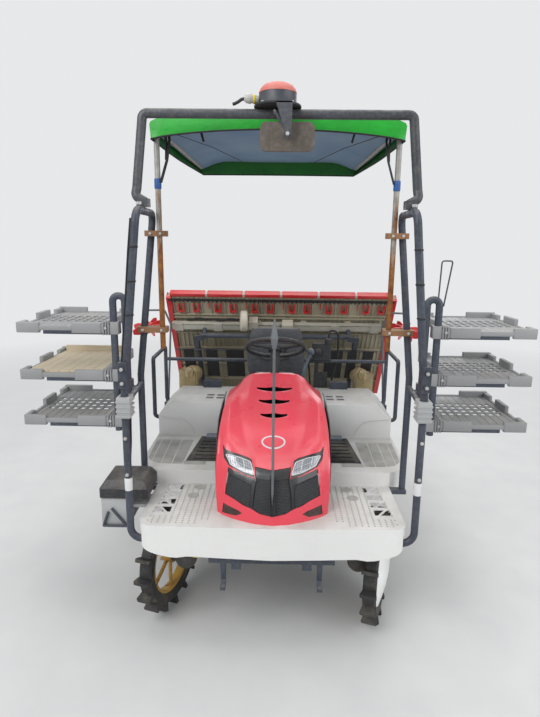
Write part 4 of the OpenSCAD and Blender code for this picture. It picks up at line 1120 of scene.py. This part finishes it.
def make_deck():
    softened("deck", 7, shapes_cut=[prism(SKIRT_WAVE, -420, -322)], segments=3, angle=40)
    dots, dimples, panels, ribs = [], [], [], []
    for side in SIDES:
        spots = [(338 + i * 32, -318 + j * 21) for i in range(10) for j in range(22)]
        spots = [spot for spot in spots if dotted(*spot)] + [(648 - 5 * i, -300 + i * 45) for i in range(9)]
        dots += [((side * x, y, FLOOR_Z), (0, 0, 1)) for x, y in spots]
        dimples += [lathe([(33, 0), (32, 2.6), (29, 3.4), (27, 2.0), (24, 0.8), (4, 0.6)],
                          (side * x, y, FLOOR_Z - 0.4), sides=28) for x, y in ((455, -10), (430, 96))]
        for corners in STEP_PANELS:
            outline = [(side * x, y) for x, y in corners]
            panels.append(prism(outline, STEP_Z - 0.5, STEP_Z + 2.2, "z"))
            for turn in (0.7, -0.7):
                ribs += hatching(outline, 13, turn, STEP_Z + 2, 1.5)
    heads("deck_dots", dots, 5.2, 3.4, "worn_dots", sides=8)
    piece("deck_recesses", dimples, "worn_dots")
    piece("step_panels", panels, "hatch_rubber", angle=30)
    piece("step_hatching", ribs, "hatch_rubber", angle=30)


def hatching(outline, pitch, turn, z, height):
    """Fine ribs across a convex outline in X and Y, each a low three-sided bar"""
    way = Vector((math.cos(turn), math.sin(turn)))
    side = Vector((-way.y, way.x))
    bars = []
    reach = [Vector(p).dot(side) for p in outline]
    level = math.floor(min(reach) / pitch) * pitch
    while level < max(reach):
        hits = []
        for a, b in zip(outline, outline[1:] + outline[:1]):
            da, db = Vector(a).dot(side) - level, Vector(b).dot(side) - level
            if da * db < 0:
                hits.append(Vector(a).lerp(Vector(b), da / (da - db)))
        if len(hits) == 2 and (hits[0] - hits[1]).length > pitch:
            a, b = hits
            vertices = [mm(p.x + side.x * w, p.y + side.y * w, z + h) for p in (a, b)
                        for w, h in ((-1.6, 0), (1.6, 0), (0, height))]
            bars.append(outward(vertices, [(0, 1, 2), (3, 4, 5), (0, 3, 4, 1), (1, 4, 5, 2), (2, 5, 3, 0)]))
        level += pitch
    return bars


make_deck()
softened("seat_box", 16, segments=3, angle=20)
softened("side_box", 5)
softened("side_box_lid", 9, segments=3)
softened("clamp_covers", 5)
softened("floor_mats", 1.5)
softened("rear_mirror", 7, segments=3, angle=60)
softened("planting_cases", 5)
softened("floats", 12)
softened("table_bars", 5)


# Driver's seat

def puffed(name, rows, crown, sides=20):
    """A closed cushion, crowned on its upper side, from rows of points along its length"""
    rings = []
    for y, z, half_w, half_t, up_y, up_z in rows:
        for a in turns(sides):
            c, s = math.cos(a), math.sin(a)
            x = half_w * math.copysign(abs(c) ** 0.42, c)
            rise = half_t * math.copysign(abs(s) ** 0.54, s) + (crown * (1 - (x / half_w) ** 2) if s > 0 else 0)
            rings.append(mm(*(Vector((x, y, z)) + Vector((0, up_y, up_z)) * rise)))
    return smoothed(bare_object(name, *outward(rings, ring_faces(len(rows), sides))), 2)


# The seat's pads: name, fill and crown, then rows with Y, Z, half width, half thickness and the Y and Z of up.
# The back's upper panel stands over a deep seam
SEAT_PADS = (
    ("seat_cushion", 0.7, 9, [
        (752, 1128, 150, 12, -0.3, 1), (757, 1132, 185, 26, -0.2, 1), (775, 1136, 207, 34, 0, 1),
        (850, 1138, 214, 36, 0, 1), (960, 1134, 215, 36, 0, 1), (1050, 1130, 211, 34, 0, 1),
        (1068, 1130, 200, 24, 0, 1)]),
    ("seat_back", 0.7, 7, [
        (1128, 1150, 190, 14, -1, 0), (1128, 1160, 205, 30, -1, 0), (1130, 1200, 214, 40, -1, 0),
        (1132, 1290, 221, 42, -1, 0), (1134, 1372, 222, 41, -1, 0.1), (1138, 1402, 216, 36, -1, 0.1),
        (1140, 1412, 205, 22, -1, 0.1)]),
    ("seat_head", 0.6, 6, [
        (1140, 1408, 186, 22, -1, 0.1), (1141, 1420, 197, 34, -1, 0.1), (1143, 1450, 198, 36, -1, 0.1),
        (1147, 1485, 190, 33, -1, 0.1), (1149, 1508, 172, 27, -1, 0.1), (1150, 1518, 148, 14, -1, 0.1)]),
)


def make_seat():
    for name, fill, crown, rows in SEAT_PADS:
        dress(puffed(name, rows, crown), "seat_vinyl", SEAT_BODY, 75)
    across = [i / 10 for i in range(-10, 11)]
    seams = [tube([(t * half, y + 14 * abs(t) ** 6, z - dip * (1 - t * t)) for t in across], 7, 8)
             for z, half, y, dip in ((1411, 204, 1098, 0), (1392, 216, 1094, 0), (1300, 176, 1083, 6))]
    # The cushion's seam runs round it
    loop = [(170 * math.copysign(abs(math.cos(a)) ** 0.35, math.cos(a)),
             915 + 118 * math.copysign(abs(math.sin(a)) ** 0.35, math.sin(a)), 1180.5) for a in turns(48)]
    piece("seat_piping", seams + [tube(loop, 5, 8, closed=True)], "seat_vinyl", SEAT_BODY, 80)
    # Straps that cross the back's middle
    straps = [tube([(-216, 1092, 1392), (-170, 1088, 1350), (-100, 1082, 1296)], 20, 6, flat=0.3),
              tube([(-100, 1082, 1296), (0, 1080, 1284), (100, 1082, 1300), (60, 1084, 1352), (100, 1090, 1390)],
                   17, 6, flat=0.35)]
    piece("seat_straps", straps, "black_trim", SEAT_BODY, 70)
    # The pan under and behind the pads, with its front hinge and its rear stops
    pan = [block((-200, 746, 1072), (200, 1134, 1098)),
           prism([(1100, 1075), (1182, 1075), (1186, 1200), (1180, 1500), (1166, 1508), (1160, 1480), (1156, 1200),
                  (1100, 1100)], -178, 178, "x")]
    for side in SIDES:
        low, high = sorted((side * 150, side * 170))
        pan += [lathe([(12, -10), (12, 10)], (side * 160, 759, 1057.3), (1, 0, 0), 24),
                block((low, 749, 1057), (high, 769, 1074)),
                lathe([(20, 0.3), (20, 26), (14, 30), (14, 34)], (side * 150, 1085, 1045), sides=24)]
    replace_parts(piece("seat_pan", pan, "dark_plastic", SEAT_BODY), "seat")


make_seat()


# Trays

TRAY_Z, TRAY_PITCH = 1150, 260
TRAY_WIDE, TRAY_DEEP, TRAY_FLOOR = 448, 596, 22
POST_X = 866
# The trays are drawn on the -X side, from their outer edge, which lies this far from the middle
TRAY_X = -POST_X - 19 - 48 - TRAY_WIDE


def tray_shape():
    """One tray at the source's origin: a floor with a grid of holes, and a rim that is open in places"""
    w, d = TRAY_WIDE, TRAY_DEEP
    floor = bare_object("tray", *prism(rounded_outline(0, 0, w, d, 26), 6, TRAY_FLOOR, "z"))
    openings = [block((44 + i * 46, 190 + j * 62, 0), (76 + i * 46, 236 + j * 62, 40)) for i in range(8)
                for j in range(4)]
    openings += [block((43 + i * 46, y0, TRAY_FLOOR - 4), (46 + i * 46, y1, 40))
                 for y0, y1 in ((14, 186), (440, d - 14)) for i in range(9)]
    cut(floor, [joined(openings), prism(rounded_outline(10, 10, w - 10, d - 10, 18), 0, TRAY_FLOOR - 9, "z")])
    # The rim's lengths: outline in X and Y, and top; each stands a little proud of the floor's edge
    walls = [prism(rounded_outline(x0, y0, x1, y1, 7), -12, top, "z") for x0, y0, x1, y1, top in (
        (-8, -8, 116, 18, 44), (w - 158, -9, w + 4, 17, 44), (-9, -7, 17, 96, 43), (-7, 236, 18, 392, 62),
        (-9, d - 104, 17, d + 7, 50), (-7, d - 18, 172, d + 8, 56), (w - 70, d - 17, w + 5, d + 9, 49),
        (w - 18, -7, w + 6, d + 7, 40))]
    walls += [prism(rounded_outline(x0, y0, x1, y1, 6), 1, top, "z") for x0, y0, x1, y1, top in (
        (-3, -4, w + 2, 14, 27), (-4, -3, 14, d + 3, 28), (-2, d - 14, w + 3, d + 4, 29))]
    # Clamp round the post, with its ribs and its bolt's boss
    walls.append(block((w - 5, -5, -9), (w + 91, 41, 38)))
    walls += [block((w + 12 + i * 14, -14, -20), (w + 19 + i * 14, 52, 50)) for i in range(3)]
    walls.append(block((w + 52, -10, -16), (w + 96, 50, 52)))
    rims = bevelled(bare_object("rims", *joined(walls)), 2.5)
    shapes = [([v.co.copy() for v in obj.data.vertices], [tuple(p.vertices) for p in obj.data.polygons])
              for obj in (floor, rims)]
    for obj in (floor, rims):
        bpy.data.objects.remove(obj)
    return joined(shapes)


def moved(shape, x, y, z, side=1):
    """A shape moved by millimetres, or mirrored to the other side"""
    vertices = [Vector((side * (v.x + x / 1000), v.y + y / 1000, v.z + z / 1000)) for v in shape[0]]
    return vertices, [tuple(reversed(f)) if side < 0 else f for f in shape[1]]


def make_trays():
    tray = tray_shape()
    levels = [TRAY_Z + i * TRAY_PITCH for i in range(3)]
    for node, side in (("trays_right", 1), ("trays_left", -1)):
        made = piece(node + "_moulded", [moved(tray, TRAY_X, -12, z, side) for z in levels], "tray_plastic",
                     BODY_OF[node], 34)
        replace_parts(made, node)
        heads(node + "_bolts", [((-side * (POST_X + 40), -22, z + 18), (0, -1, 0)) for z in levels], 9, 8,
              "bolt_steel", BODY_OF[node])
    # Board in the middle tray: planks with grooves between them, and a raised rear edge
    x0, y0, z0 = TRAY_X + 24, 4, levels[1] + TRAY_FLOOR + 1
    planks = [prism(rounded_outline(x0 + i * 58, y0, x0 + i * 58 + 55.5, y0 + 566, 3), z0, z0 + 12, "z")
              for i in range(7)]
    planks.append(block((x0 + 1, y0 + 4, z0 + 1), (x0 + 403, y0 + 560, z0 + 9)))
    planks.append(prism(rounded_outline(x0, y0 + 552, x0 + 404, y0 + 568, 5), z0, z0 + 46, "z"))
    board = piece("board_planks", planks, "board_plastic", BODY_OF["lifting_board"], 30)
    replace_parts(board, "lifting_board")


make_trays()


# Planting unit

SLOPE = math.radians(56.7)
TABLE_HALF, TABLE_SHIFT = 920, 35
LANE = (2 * TABLE_HALF - 24) / 6
# A clip's outline, across and down the table
CLIP = [(-27, 62), (-14, 62), (-14, 130), (14, 130), (14, 62), (27, 62), (27, 138), (20, 147), (-20, 147), (-27, 138)]


def on_unit(x, down, up):
    """A place on the planting unit: across, down the table's slope, and out of its upper side"""
    return (x, 1520 + down * math.cos(SLOPE) + up * math.sin(SLOPE),
            1715 - down * math.sin(SLOPE) + up * math.cos(SLOPE))


def on_table(x, down, up):
    """A place on the seedling table, which stands a little to the left on its slide"""
    return on_unit(x + TABLE_SHIFT, down, up)


def unit_point(x, down, up):
    """The same place as a point of a shape"""
    return mm(*on_unit(x, down, up))


def table_point(x, down, up):
    return mm(*on_table(x, down, up))


def lane_x(place):
    """Where a lane starts, counted from the table's right end; halves are the lanes' middles"""
    return -TABLE_HALF + 12 + place * LANE


def make_table_details():
    clips, belts = [], []
    for i in range(6):
        for x in (lane_x(i + 0.5) - 62, lane_x(i + 0.5) + 62):
            clips.append(extruded([(x + across, down) for across, down in CLIP], -42, -24, table_point))
            # Two dark belts a lane, with their cleats
            belts.append(block((x - 34, 690, -2.5), (x + 34, 1120, 1.5), table_point))
            belts += [block((x - 34, y, 1), (x + 34, y + 6, 7), table_point) for y in range(700, 1118, 36)]
        clips.append(block((lane_x(i) + 14, 58, -34), (lane_x(i) + 22, 112, -24), table_point))
    for side in SIDES:
        low, high = sorted((side * 892, side * 932))
        clips.append(extruded([(low, 2), (high, 2), (high, 1140), (low, 1140)], -33, -11, table_point))
    piece("table_clips", clips, "red_plastic", TABLE_BODY, 30)
    joints = [block((lane_x(i) - 9, -27, -17), (lane_x(i) + 9, -3, 27), table_point) for i in range(1, 6)]
    piece("table_joints", joints, "pale_plastic", TABLE_BODY, 30)
    # Dark guide bar with its fine teeth, under the red bars
    bar = [block((-TABLE_HALF + 4, 16, -34), (TABLE_HALF - 4, 34, -23), table_point)]
    bar += [block((x, 34, -33), (x + 10, 46, -24), table_point) for x in range(-TABLE_HALF + 20, TABLE_HALF - 20, 34)]
    piece("table_guide", bar, "black_trim", TABLE_BODY, 30)
    piece("table_belts", belts, "black_trim", TABLE_BODY, 30)
    # Cross ribs on the underside and raised lines along the lanes
    ribs = [block((-TABLE_HALF + 6, y, -30), (TABLE_HALF - 6, y + 8, -12), table_point)
            for y in (176, 210, 380, 560, 760, 960)]
    ribs += [block((x, 12, -2.2), (x + 4, 680, 0.8), table_point)
             for x in (lane_x(i) + 26 + j * 46 for i in range(6) for j in range(6))]
    piece("table_ribs", ribs, "table_plastic", TABLE_BODY, 30)
    cable = [on_table(x, 214 + 7 * math.sin(x / 47.0) + 5 * math.sin(x / 21.0), -48) for x in range(-780, -260, 20)]
    piece("table_harness", [tube(cable, 15, 8)], "black_trim", TABLE_BODY, 80)
    heads("table_side_bolts", [((side * (TABLE_HALF + 13) + TABLE_SHIFT, *on_table(0, y, 10)[1:]), (side, 0, 0))
                               for side in SIDES for y in range(60, 1060, 140)], 8, 6, "bolt_steel", TABLE_BODY)


def make_rail_details():
    """The upper rail's cover, the drive on it, and the rubber flaps that hang from a thin rod"""
    rail = [block((-870, down, -86), (870, down + wide, top), unit_point)
            for down, wide, top in ((240, 60, -80), (240, 6, -42), (294, 6, -42))]
    rail += [block((x, 232, -92), (x + 70, 308, -78), unit_point) for x in (-850, -520, -40, 450, 780)]
    piece("upper_rail_cover", rail, "rail_paint", UNIT_BODY, 30)
    disc = lathe([(20, -34), (74, -30), (84, -22), (84, 18), (74, 26), (20, 30)], on_unit(-262, 150, -136),
                 (1, 0.12, 0), 40)
    piece("drive_disc", [disc], "cream_plastic", UNIT_BODY, 35)
    boxes = [block((x - half, down, -134), (x + half, down + 74, -60), unit_point)
             for x, half, down in ((-190, 36, 168), (92, 44, 196))]
    piece("drive_boxes", boxes, "cream_plastic", UNIT_BODY, 30)
    piece("flap_rod", [tube([on_unit(-850, 470, -148), on_unit(850, 470, -148)], 12, 10)], "frame_paint", UNIT_BODY)
    flaps = [extruded([(x0, 462), (x1, 462), (x1 + 3, 790), (x0 - 3, 790)], -158, -152, unit_point) for x0, x1 in (
        (-790, -700), (-600, -500), (-425, -275), (420, 570), (610, 690), (740, 830))]
    piece("rubber_flaps", flaps, "black_trim", UNIT_BODY, 30)


def make_end_castings():
    """Castings at both ends of the unit, ribbed, with a round bearing cap, and the corner plates over them"""
    shapes, bolts, straps, plates = [], [], [], []
    for side in SIDES:
        cap, way = Vector((side * 735, 1765, 1010)), Vector((side * 0.55, -0.8, 0.2))
        shapes += [
            lathe([(30, -70), (62, -62), (74, -30), (76, 10), (66, 30), (52, 36), (50, 52), (34, 56)], cap, way, 28),
            lathe([(22, -10), (34, 0), (34, 90), (26, 96)], cap + Vector((side * -10, 20, 10)), (side, 0.2, 0.1), 20),
            prism([(1700, 900), (1830, 900), (1830, 1040), (1790, 1075), (1740, 1060), (1700, 980)], side * 700,
                  side * 770, "x")]
        shapes += [block((x - 3, 1694, 915), (x + 3, 1702, 1045)) for x in (side * (690 + k * 18) for k in range(5))]
        bolts += [((cap.x + math.cos(a) * 44, cap.y - 48, cap.z + math.sin(a) * 44), way) for a in turns(5, 0.4)]
        straps.append(block((side * 640 - 12, 1820, 735), (side * 640 + 12, 1870, 930)))
        plate = [(690, 320), (590, 300), (590, 352), (655, 372), (655, 450), (690, 450)]
        plates.append(extruded([(side * x, down) for x, down in plate], -148, -141, unit_point))
    piece("end_castings", shapes, "tan_casting", UNIT_BODY, 34)
    piece("end_casting_straps", straps, "frame_paint", UNIT_BODY, 30)
    heads("end_casting_bolts", bolts, 7, 7, "bolt_steel", UNIT_BODY)
    piece("frame_gussets", plates, "frame_paint", UNIT_BODY, 30)


def make_case_covers():
    """Covers over the planting cases' chains, and their bolts"""
    covers, bolts = [], []
    for x in (-600, 0, 600):
        covers += [prism([(1965, 652), (2300, 652), (2322, 676), (2322, 716), (2300, 733), (1965, 733)],
                         x - 36, x + 36, "x"),
                   lathe([(57, -40), (60, -36), (60, 36), (57, 40)], (x, 2340, 700), (1, 0, 0), 32)]
        bolts += [((x + side * 37, y, z), (side, 0, 0)) for side in SIDES for y in (2000, 2080, 2160, 2240)
                  for z in (664, 722)]
    piece("case_covers", covers, "tan_casting", UNIT_BODY, 34)
    heads("case_bolts", bolts, 6, 5, "bolt_steel", UNIT_BODY)


make_table_details()
make_rail_details()
make_end_castings()
make_case_covers()


# Wheels

# Where the left kingpin crosses the front wheel's axle, and the left rear hub; the right ones mirror them
KINGPIN, REAR_HUB = (505, 0, 325), (600, 1060, 450)
STEERED = Matrix.Rotation(math.radians(-18), 3, "Z")


def wheel_nuts(name, axle, turn, side, out, circle, count, radius, body):
    """Nuts on a circle round an axle, some way out from a point on it"""
    way = turn @ Vector((side, 0, 0))
    places = [axle + turn @ Vector((side * out, circle * math.cos(a), circle * math.sin(a))) for a in turns(count)]
    heads(name, [(place, way) for place in places], radius, 10, "bolt_steel", body)


def make_wheel_details():
    for name, side in (("left", 1), ("right", -1)):
        pin = Vector((side * KINGPIN[0], *KINGPIN[1:]))
        body = "front_wheel_" + name
        wheel_nuts(f"front_nuts_{name}", pin, STEERED, side, 150, 42, 5, 9, body)
        if name == "left":
            # Pale disc over the rim
            way = STEERED @ Vector((side, 0, 0))
            disc = [(0.5, -2), (60, -2), (224, -4), (230, 0), (228, 8), (220, 14), (170, 28), (110, 42), (40, 51),
                    (0.5, 52)]
            piece("wheel_disc", [lathe(disc, pin + way * 128, way, 64)], "white_paint", body, 30)
        hub = Vector((side * REAR_HUB[0], *REAR_HUB[1:]))
        wheel_nuts(f"rear_nuts_{name}", hub, Matrix.Identity(3), side, 32, 46, 6, 10, "rear_wheel_" + name)


make_wheel_details()


# Frame details

def make_leg_details():
    """Patches, bolts, ribbed grips and cable ties on the side frames' legs, and the cables down the right one"""
    patches, bolts, grips, ties = [], [], [], []
    for side in SIDES:
        patches.append(lathe([(19.6, -34), (19.9, -33), (19.9, 33), (19.6, 34)], (side * 738, -300, 930), sides=20))
        bolts += [((side * x, y, z), (0, -1, 0)) for x, y, z in (
            (738, -320, 985), (738, -320, 1180), (735, -345, 1470), (735, -345, 1540), (660, -152, 2325),
            (672, -152, 2325))]
        low, high = sorted((side * 774, side * 700))
        grips += [prism(rounded_outline(low, -344, high, -256, 6), z, z + 8, "z") for z in range(1298, 1394, 24)]
        ties += [lathe([(20.5, -4), (21.6, -3), (21.6, 3), (20.5, 4)], (side * x, -300, z), sides=20)
                 for x, z in ((696, 1800), (679, 1960), (663, 2120))]
    piece("pole_patches", patches, "reflector")
    heads("frame_bolts", bolts, 10, 9, "bolt_steel")
    piece("grip_ribs", grips, "grey_plastic", angle=30)
    piece("leg_cables", [tube(path, 11, 8) for path in (
        [(-672, -296, 2250), (-689, -298, 2100), (-710, -294, 1900), (-730, -298, 1700), (-744, -296, 1566)],
        [(-716, -288, 1290), (-722, -280, 1150), (-734, -276, 1010), (-752, -280, 900)])], "black_trim", angle=80)
    piece("cable_ties", ties, "black_trim")


def make_front_beam():
    """Cross beam and towing hooks under the front of the deck"""
    hook = [(-336, 560), (-298, 560), (-290, 480), (-278, 430), (-282, 388), (-300, 356), (-326, 346), (-350, 356),
            (-362, 384), (-346, 392), (-336, 378), (-322, 376), (-310, 396), (-312, 430), (-326, 480)]
    shapes = [prism(hook, side * 255 - 13, side * 255 + 13, "x") for side in SIDES]
    shapes.append(block((-330, -332, 505), (330, -296, 548)))
    shapes += [block((side * 185 - 24, -334, 470), (side * 185 + 24, -292, 600)) for side in SIDES]
    piece("front_beam", shapes, "frame_paint", angle=30)
    piece("yellow_tag", [block((-408, -338, 538), (-372, -334, 560))], "yellow_plastic")


def make_side_details():
    """The wire loop on the left stand and the triangular bracket in front of the side box"""
    wire = rounded_path([(857, 0, 1846), (862, 0, 2062), (918, 0, 2062), (887, 0, 1825)], 14)
    piece("stand_wire", [tube(wire, 8, 8)], "frame_paint", BODY_OF["tray_stand_left"], 60)
    bars = [tube([(x0, -158, z0), (x1, -158, z1)], 15, 8) for x0, z0, x1, z1 in (
        (-930, 608, -800, 608), (-930, 608, -900, 690), (-800, 608, -880, 712))]
    piece("box_bracket", bars, "frame_paint")


make_leg_details()
make_front_beam()
make_side_details()


# Seat box details and what stands on it

def make_box_details():
    vents, stops, ridges = [], [], []
    for side in SIDES:
        for x, y in ((395, 860), (470, 862), (395, 930), (470, 932)):
            vents += [block((side * x - 26, front, 1044.5), (side * x + 26, front + 9, 1047))
                      for front in (y, y + 20)]
        stops.append(block((side * 485 - 68, 1150, 1046), (side * 485 + 68, 1215, 1098)))
        path = [(side * 560, 722, 830), (side * 590, 722, 905), (side * 640, 722, 938), (side * 790, 722, 950)]
        ridges.append(tube(rounded_path(path, 40), 9, 8, flat=0.6))
    piece("box_vents", vents, "black_trim")
    piece("rear_brackets", stops, "frame_paint", angle=30)
    piece("box_ridges", ridges, "deck_plastic", angle=60)
    # Hydraulic housing behind the seat on the left, with its hoses
    piece("valve_housing", [
        prism(rounded_outline(278, 1166, 420, 1240, 14), 1268, 1395, "z"),
        lathe([(26, 0), (30, 4), (30, 36), (22, 42)], (400, 1180, 1395), sides=24),
        lathe([(20, 0), (24, 3), (24, 30), (12, 36)], (320, 1162, 1340), (0, -1, 0), 20),
        block((300, 1206, 1160), (330, 1222, 1270)), block((296, 1196, 1030), (400, 1226, 1166)),
    ], "dark_plastic", angle=32)
    upper = [(400, 1182, 1430), (404, 1190, 1500), (476, 1210, 1480), (480, 1216, 1330), (452, 1222, 1180),
             (430, 1225, 1060)]
    lower = [(298, 1166, 1300), (250, 1160, 1262), (262, 1180, 1140), (270, 1200, 1050)]
    piece("valve_hoses", [tube(rounded_path(upper, 60), 17, 10), tube(rounded_path(lower, 40), 14, 10)],
          "black_trim", angle=80)


make_box_details()


# Studio

BACKDROP = (0.80, 0.81, 0.82)
SKY, SKY_STRENGTH = (0.93, 0.96, 1.0), 0.55
# The floor's half width, and how far out its own colour starts and ends to fade into the backdrop's, in metres
FLOOR_HALF, FADE_START, FADE_END = 30.0, 3.0, 9.0
# Soft lamps that look at the machine's middle: place, size in metres and power in watts
LAMPS = {
    "key": ((-3.5, -5.0, 5.5), 4.0, 260.0),
    "fill": ((4.5, -3.0, 3.5), 4.0, 110.0),
    "back": ((1.0, 5.5, 5.0), 5.0, 180.0),
    "top": ((0.0, 0.0, 7.0), 5.0, 160.0),
}
LIT_PLACE = Vector((0, 0, 1.0))


def make_floor():
    corners = [(x * FLOOR_HALF, y * FLOOR_HALF, 0) for x, y in ((-1, -1), (1, -1), (1, 1), (-1, 1))]
    floor = bare_object("studio_floor", corners, [(0, 1, 2, 3)])
    f = Finish("studio_floor", (0.62, 0.62, 0.61), 0.9)
    f.set("Base Color", f.blend(f.noise(3.0, 5.0, low=0.3, high=0.7), (0.63, 0.63, 0.62), (0.59, 0.59, 0.585)))
    # Far off, the camera sees the floor in the backdrop's own colour, so that no horizon shows
    far = f.span(f.add("ShaderNodeVectorMath", {0: f.coords}, operation="LENGTH").outputs["Value"],
                 FADE_START, FADE_END)
    seen = f.times(far, f.add("ShaderNodeLightPath").outputs["Is Camera Ray"])
    glow = f.add("ShaderNodeEmission", {"Color": (*BACKDROP, 1.0), "Strength": 1.0})
    mix = f.add("ShaderNodeMixShader", {0: seen, 1: f.shader.outputs[0], 2: glow.outputs[0]})
    f.tree.links.new(mix.outputs[0], f.tree.nodes["Material Output"].inputs["Surface"])
    floor.data.materials.append(f.material)


def make_world():
    """Even light from all round, while the camera sees the backdrop's colour"""
    world = bpy.data.worlds.new("studio")
    bpy.context.scene.world = world
    world.use_nodes = True
    tree = world.node_tree
    light = tree.nodes["Background"]
    light.inputs["Color"].default_value = (*SKY, 1.0)
    light.inputs["Strength"].default_value = SKY_STRENGTH
    seen = tree.nodes.new("ShaderNodeBackground")
    seen.inputs["Color"].default_value = (*BACKDROP, 1.0)
    seen.inputs["Strength"].default_value = 1.0
    path = tree.nodes.new("ShaderNodeLightPath")
    either = tree.nodes.new("ShaderNodeMath")
    either.operation = "MAXIMUM"
    tree.links.new(path.outputs["Is Camera Ray"], either.inputs[0])
    tree.links.new(path.outputs["Is Transmission Ray"], either.inputs[1])
    mix = tree.nodes.new("ShaderNodeMixShader")
    tree.links.new(either.outputs[0], mix.inputs[0])
    tree.links.new(light.outputs[0], mix.inputs[1])
    tree.links.new(seen.outputs[0], mix.inputs[2])
    tree.links.new(mix.outputs[0], tree.nodes["World Output"].inputs["Surface"])


def make_lamps():
    for name, (place, size, power) in LAMPS.items():
        data = bpy.data.lights.new(name, "AREA")
        data.size, data.energy = size, power
        lamp = linked(name, data)
        lamp.location = place
        lamp.rotation_euler = (LIT_PLACE - Vector(place)).to_track_quat("-Z", "Y").to_euler()


make_floor()
make_world()
make_lamps()
bpy.context.scene.view_settings.view_transform = "Standard"
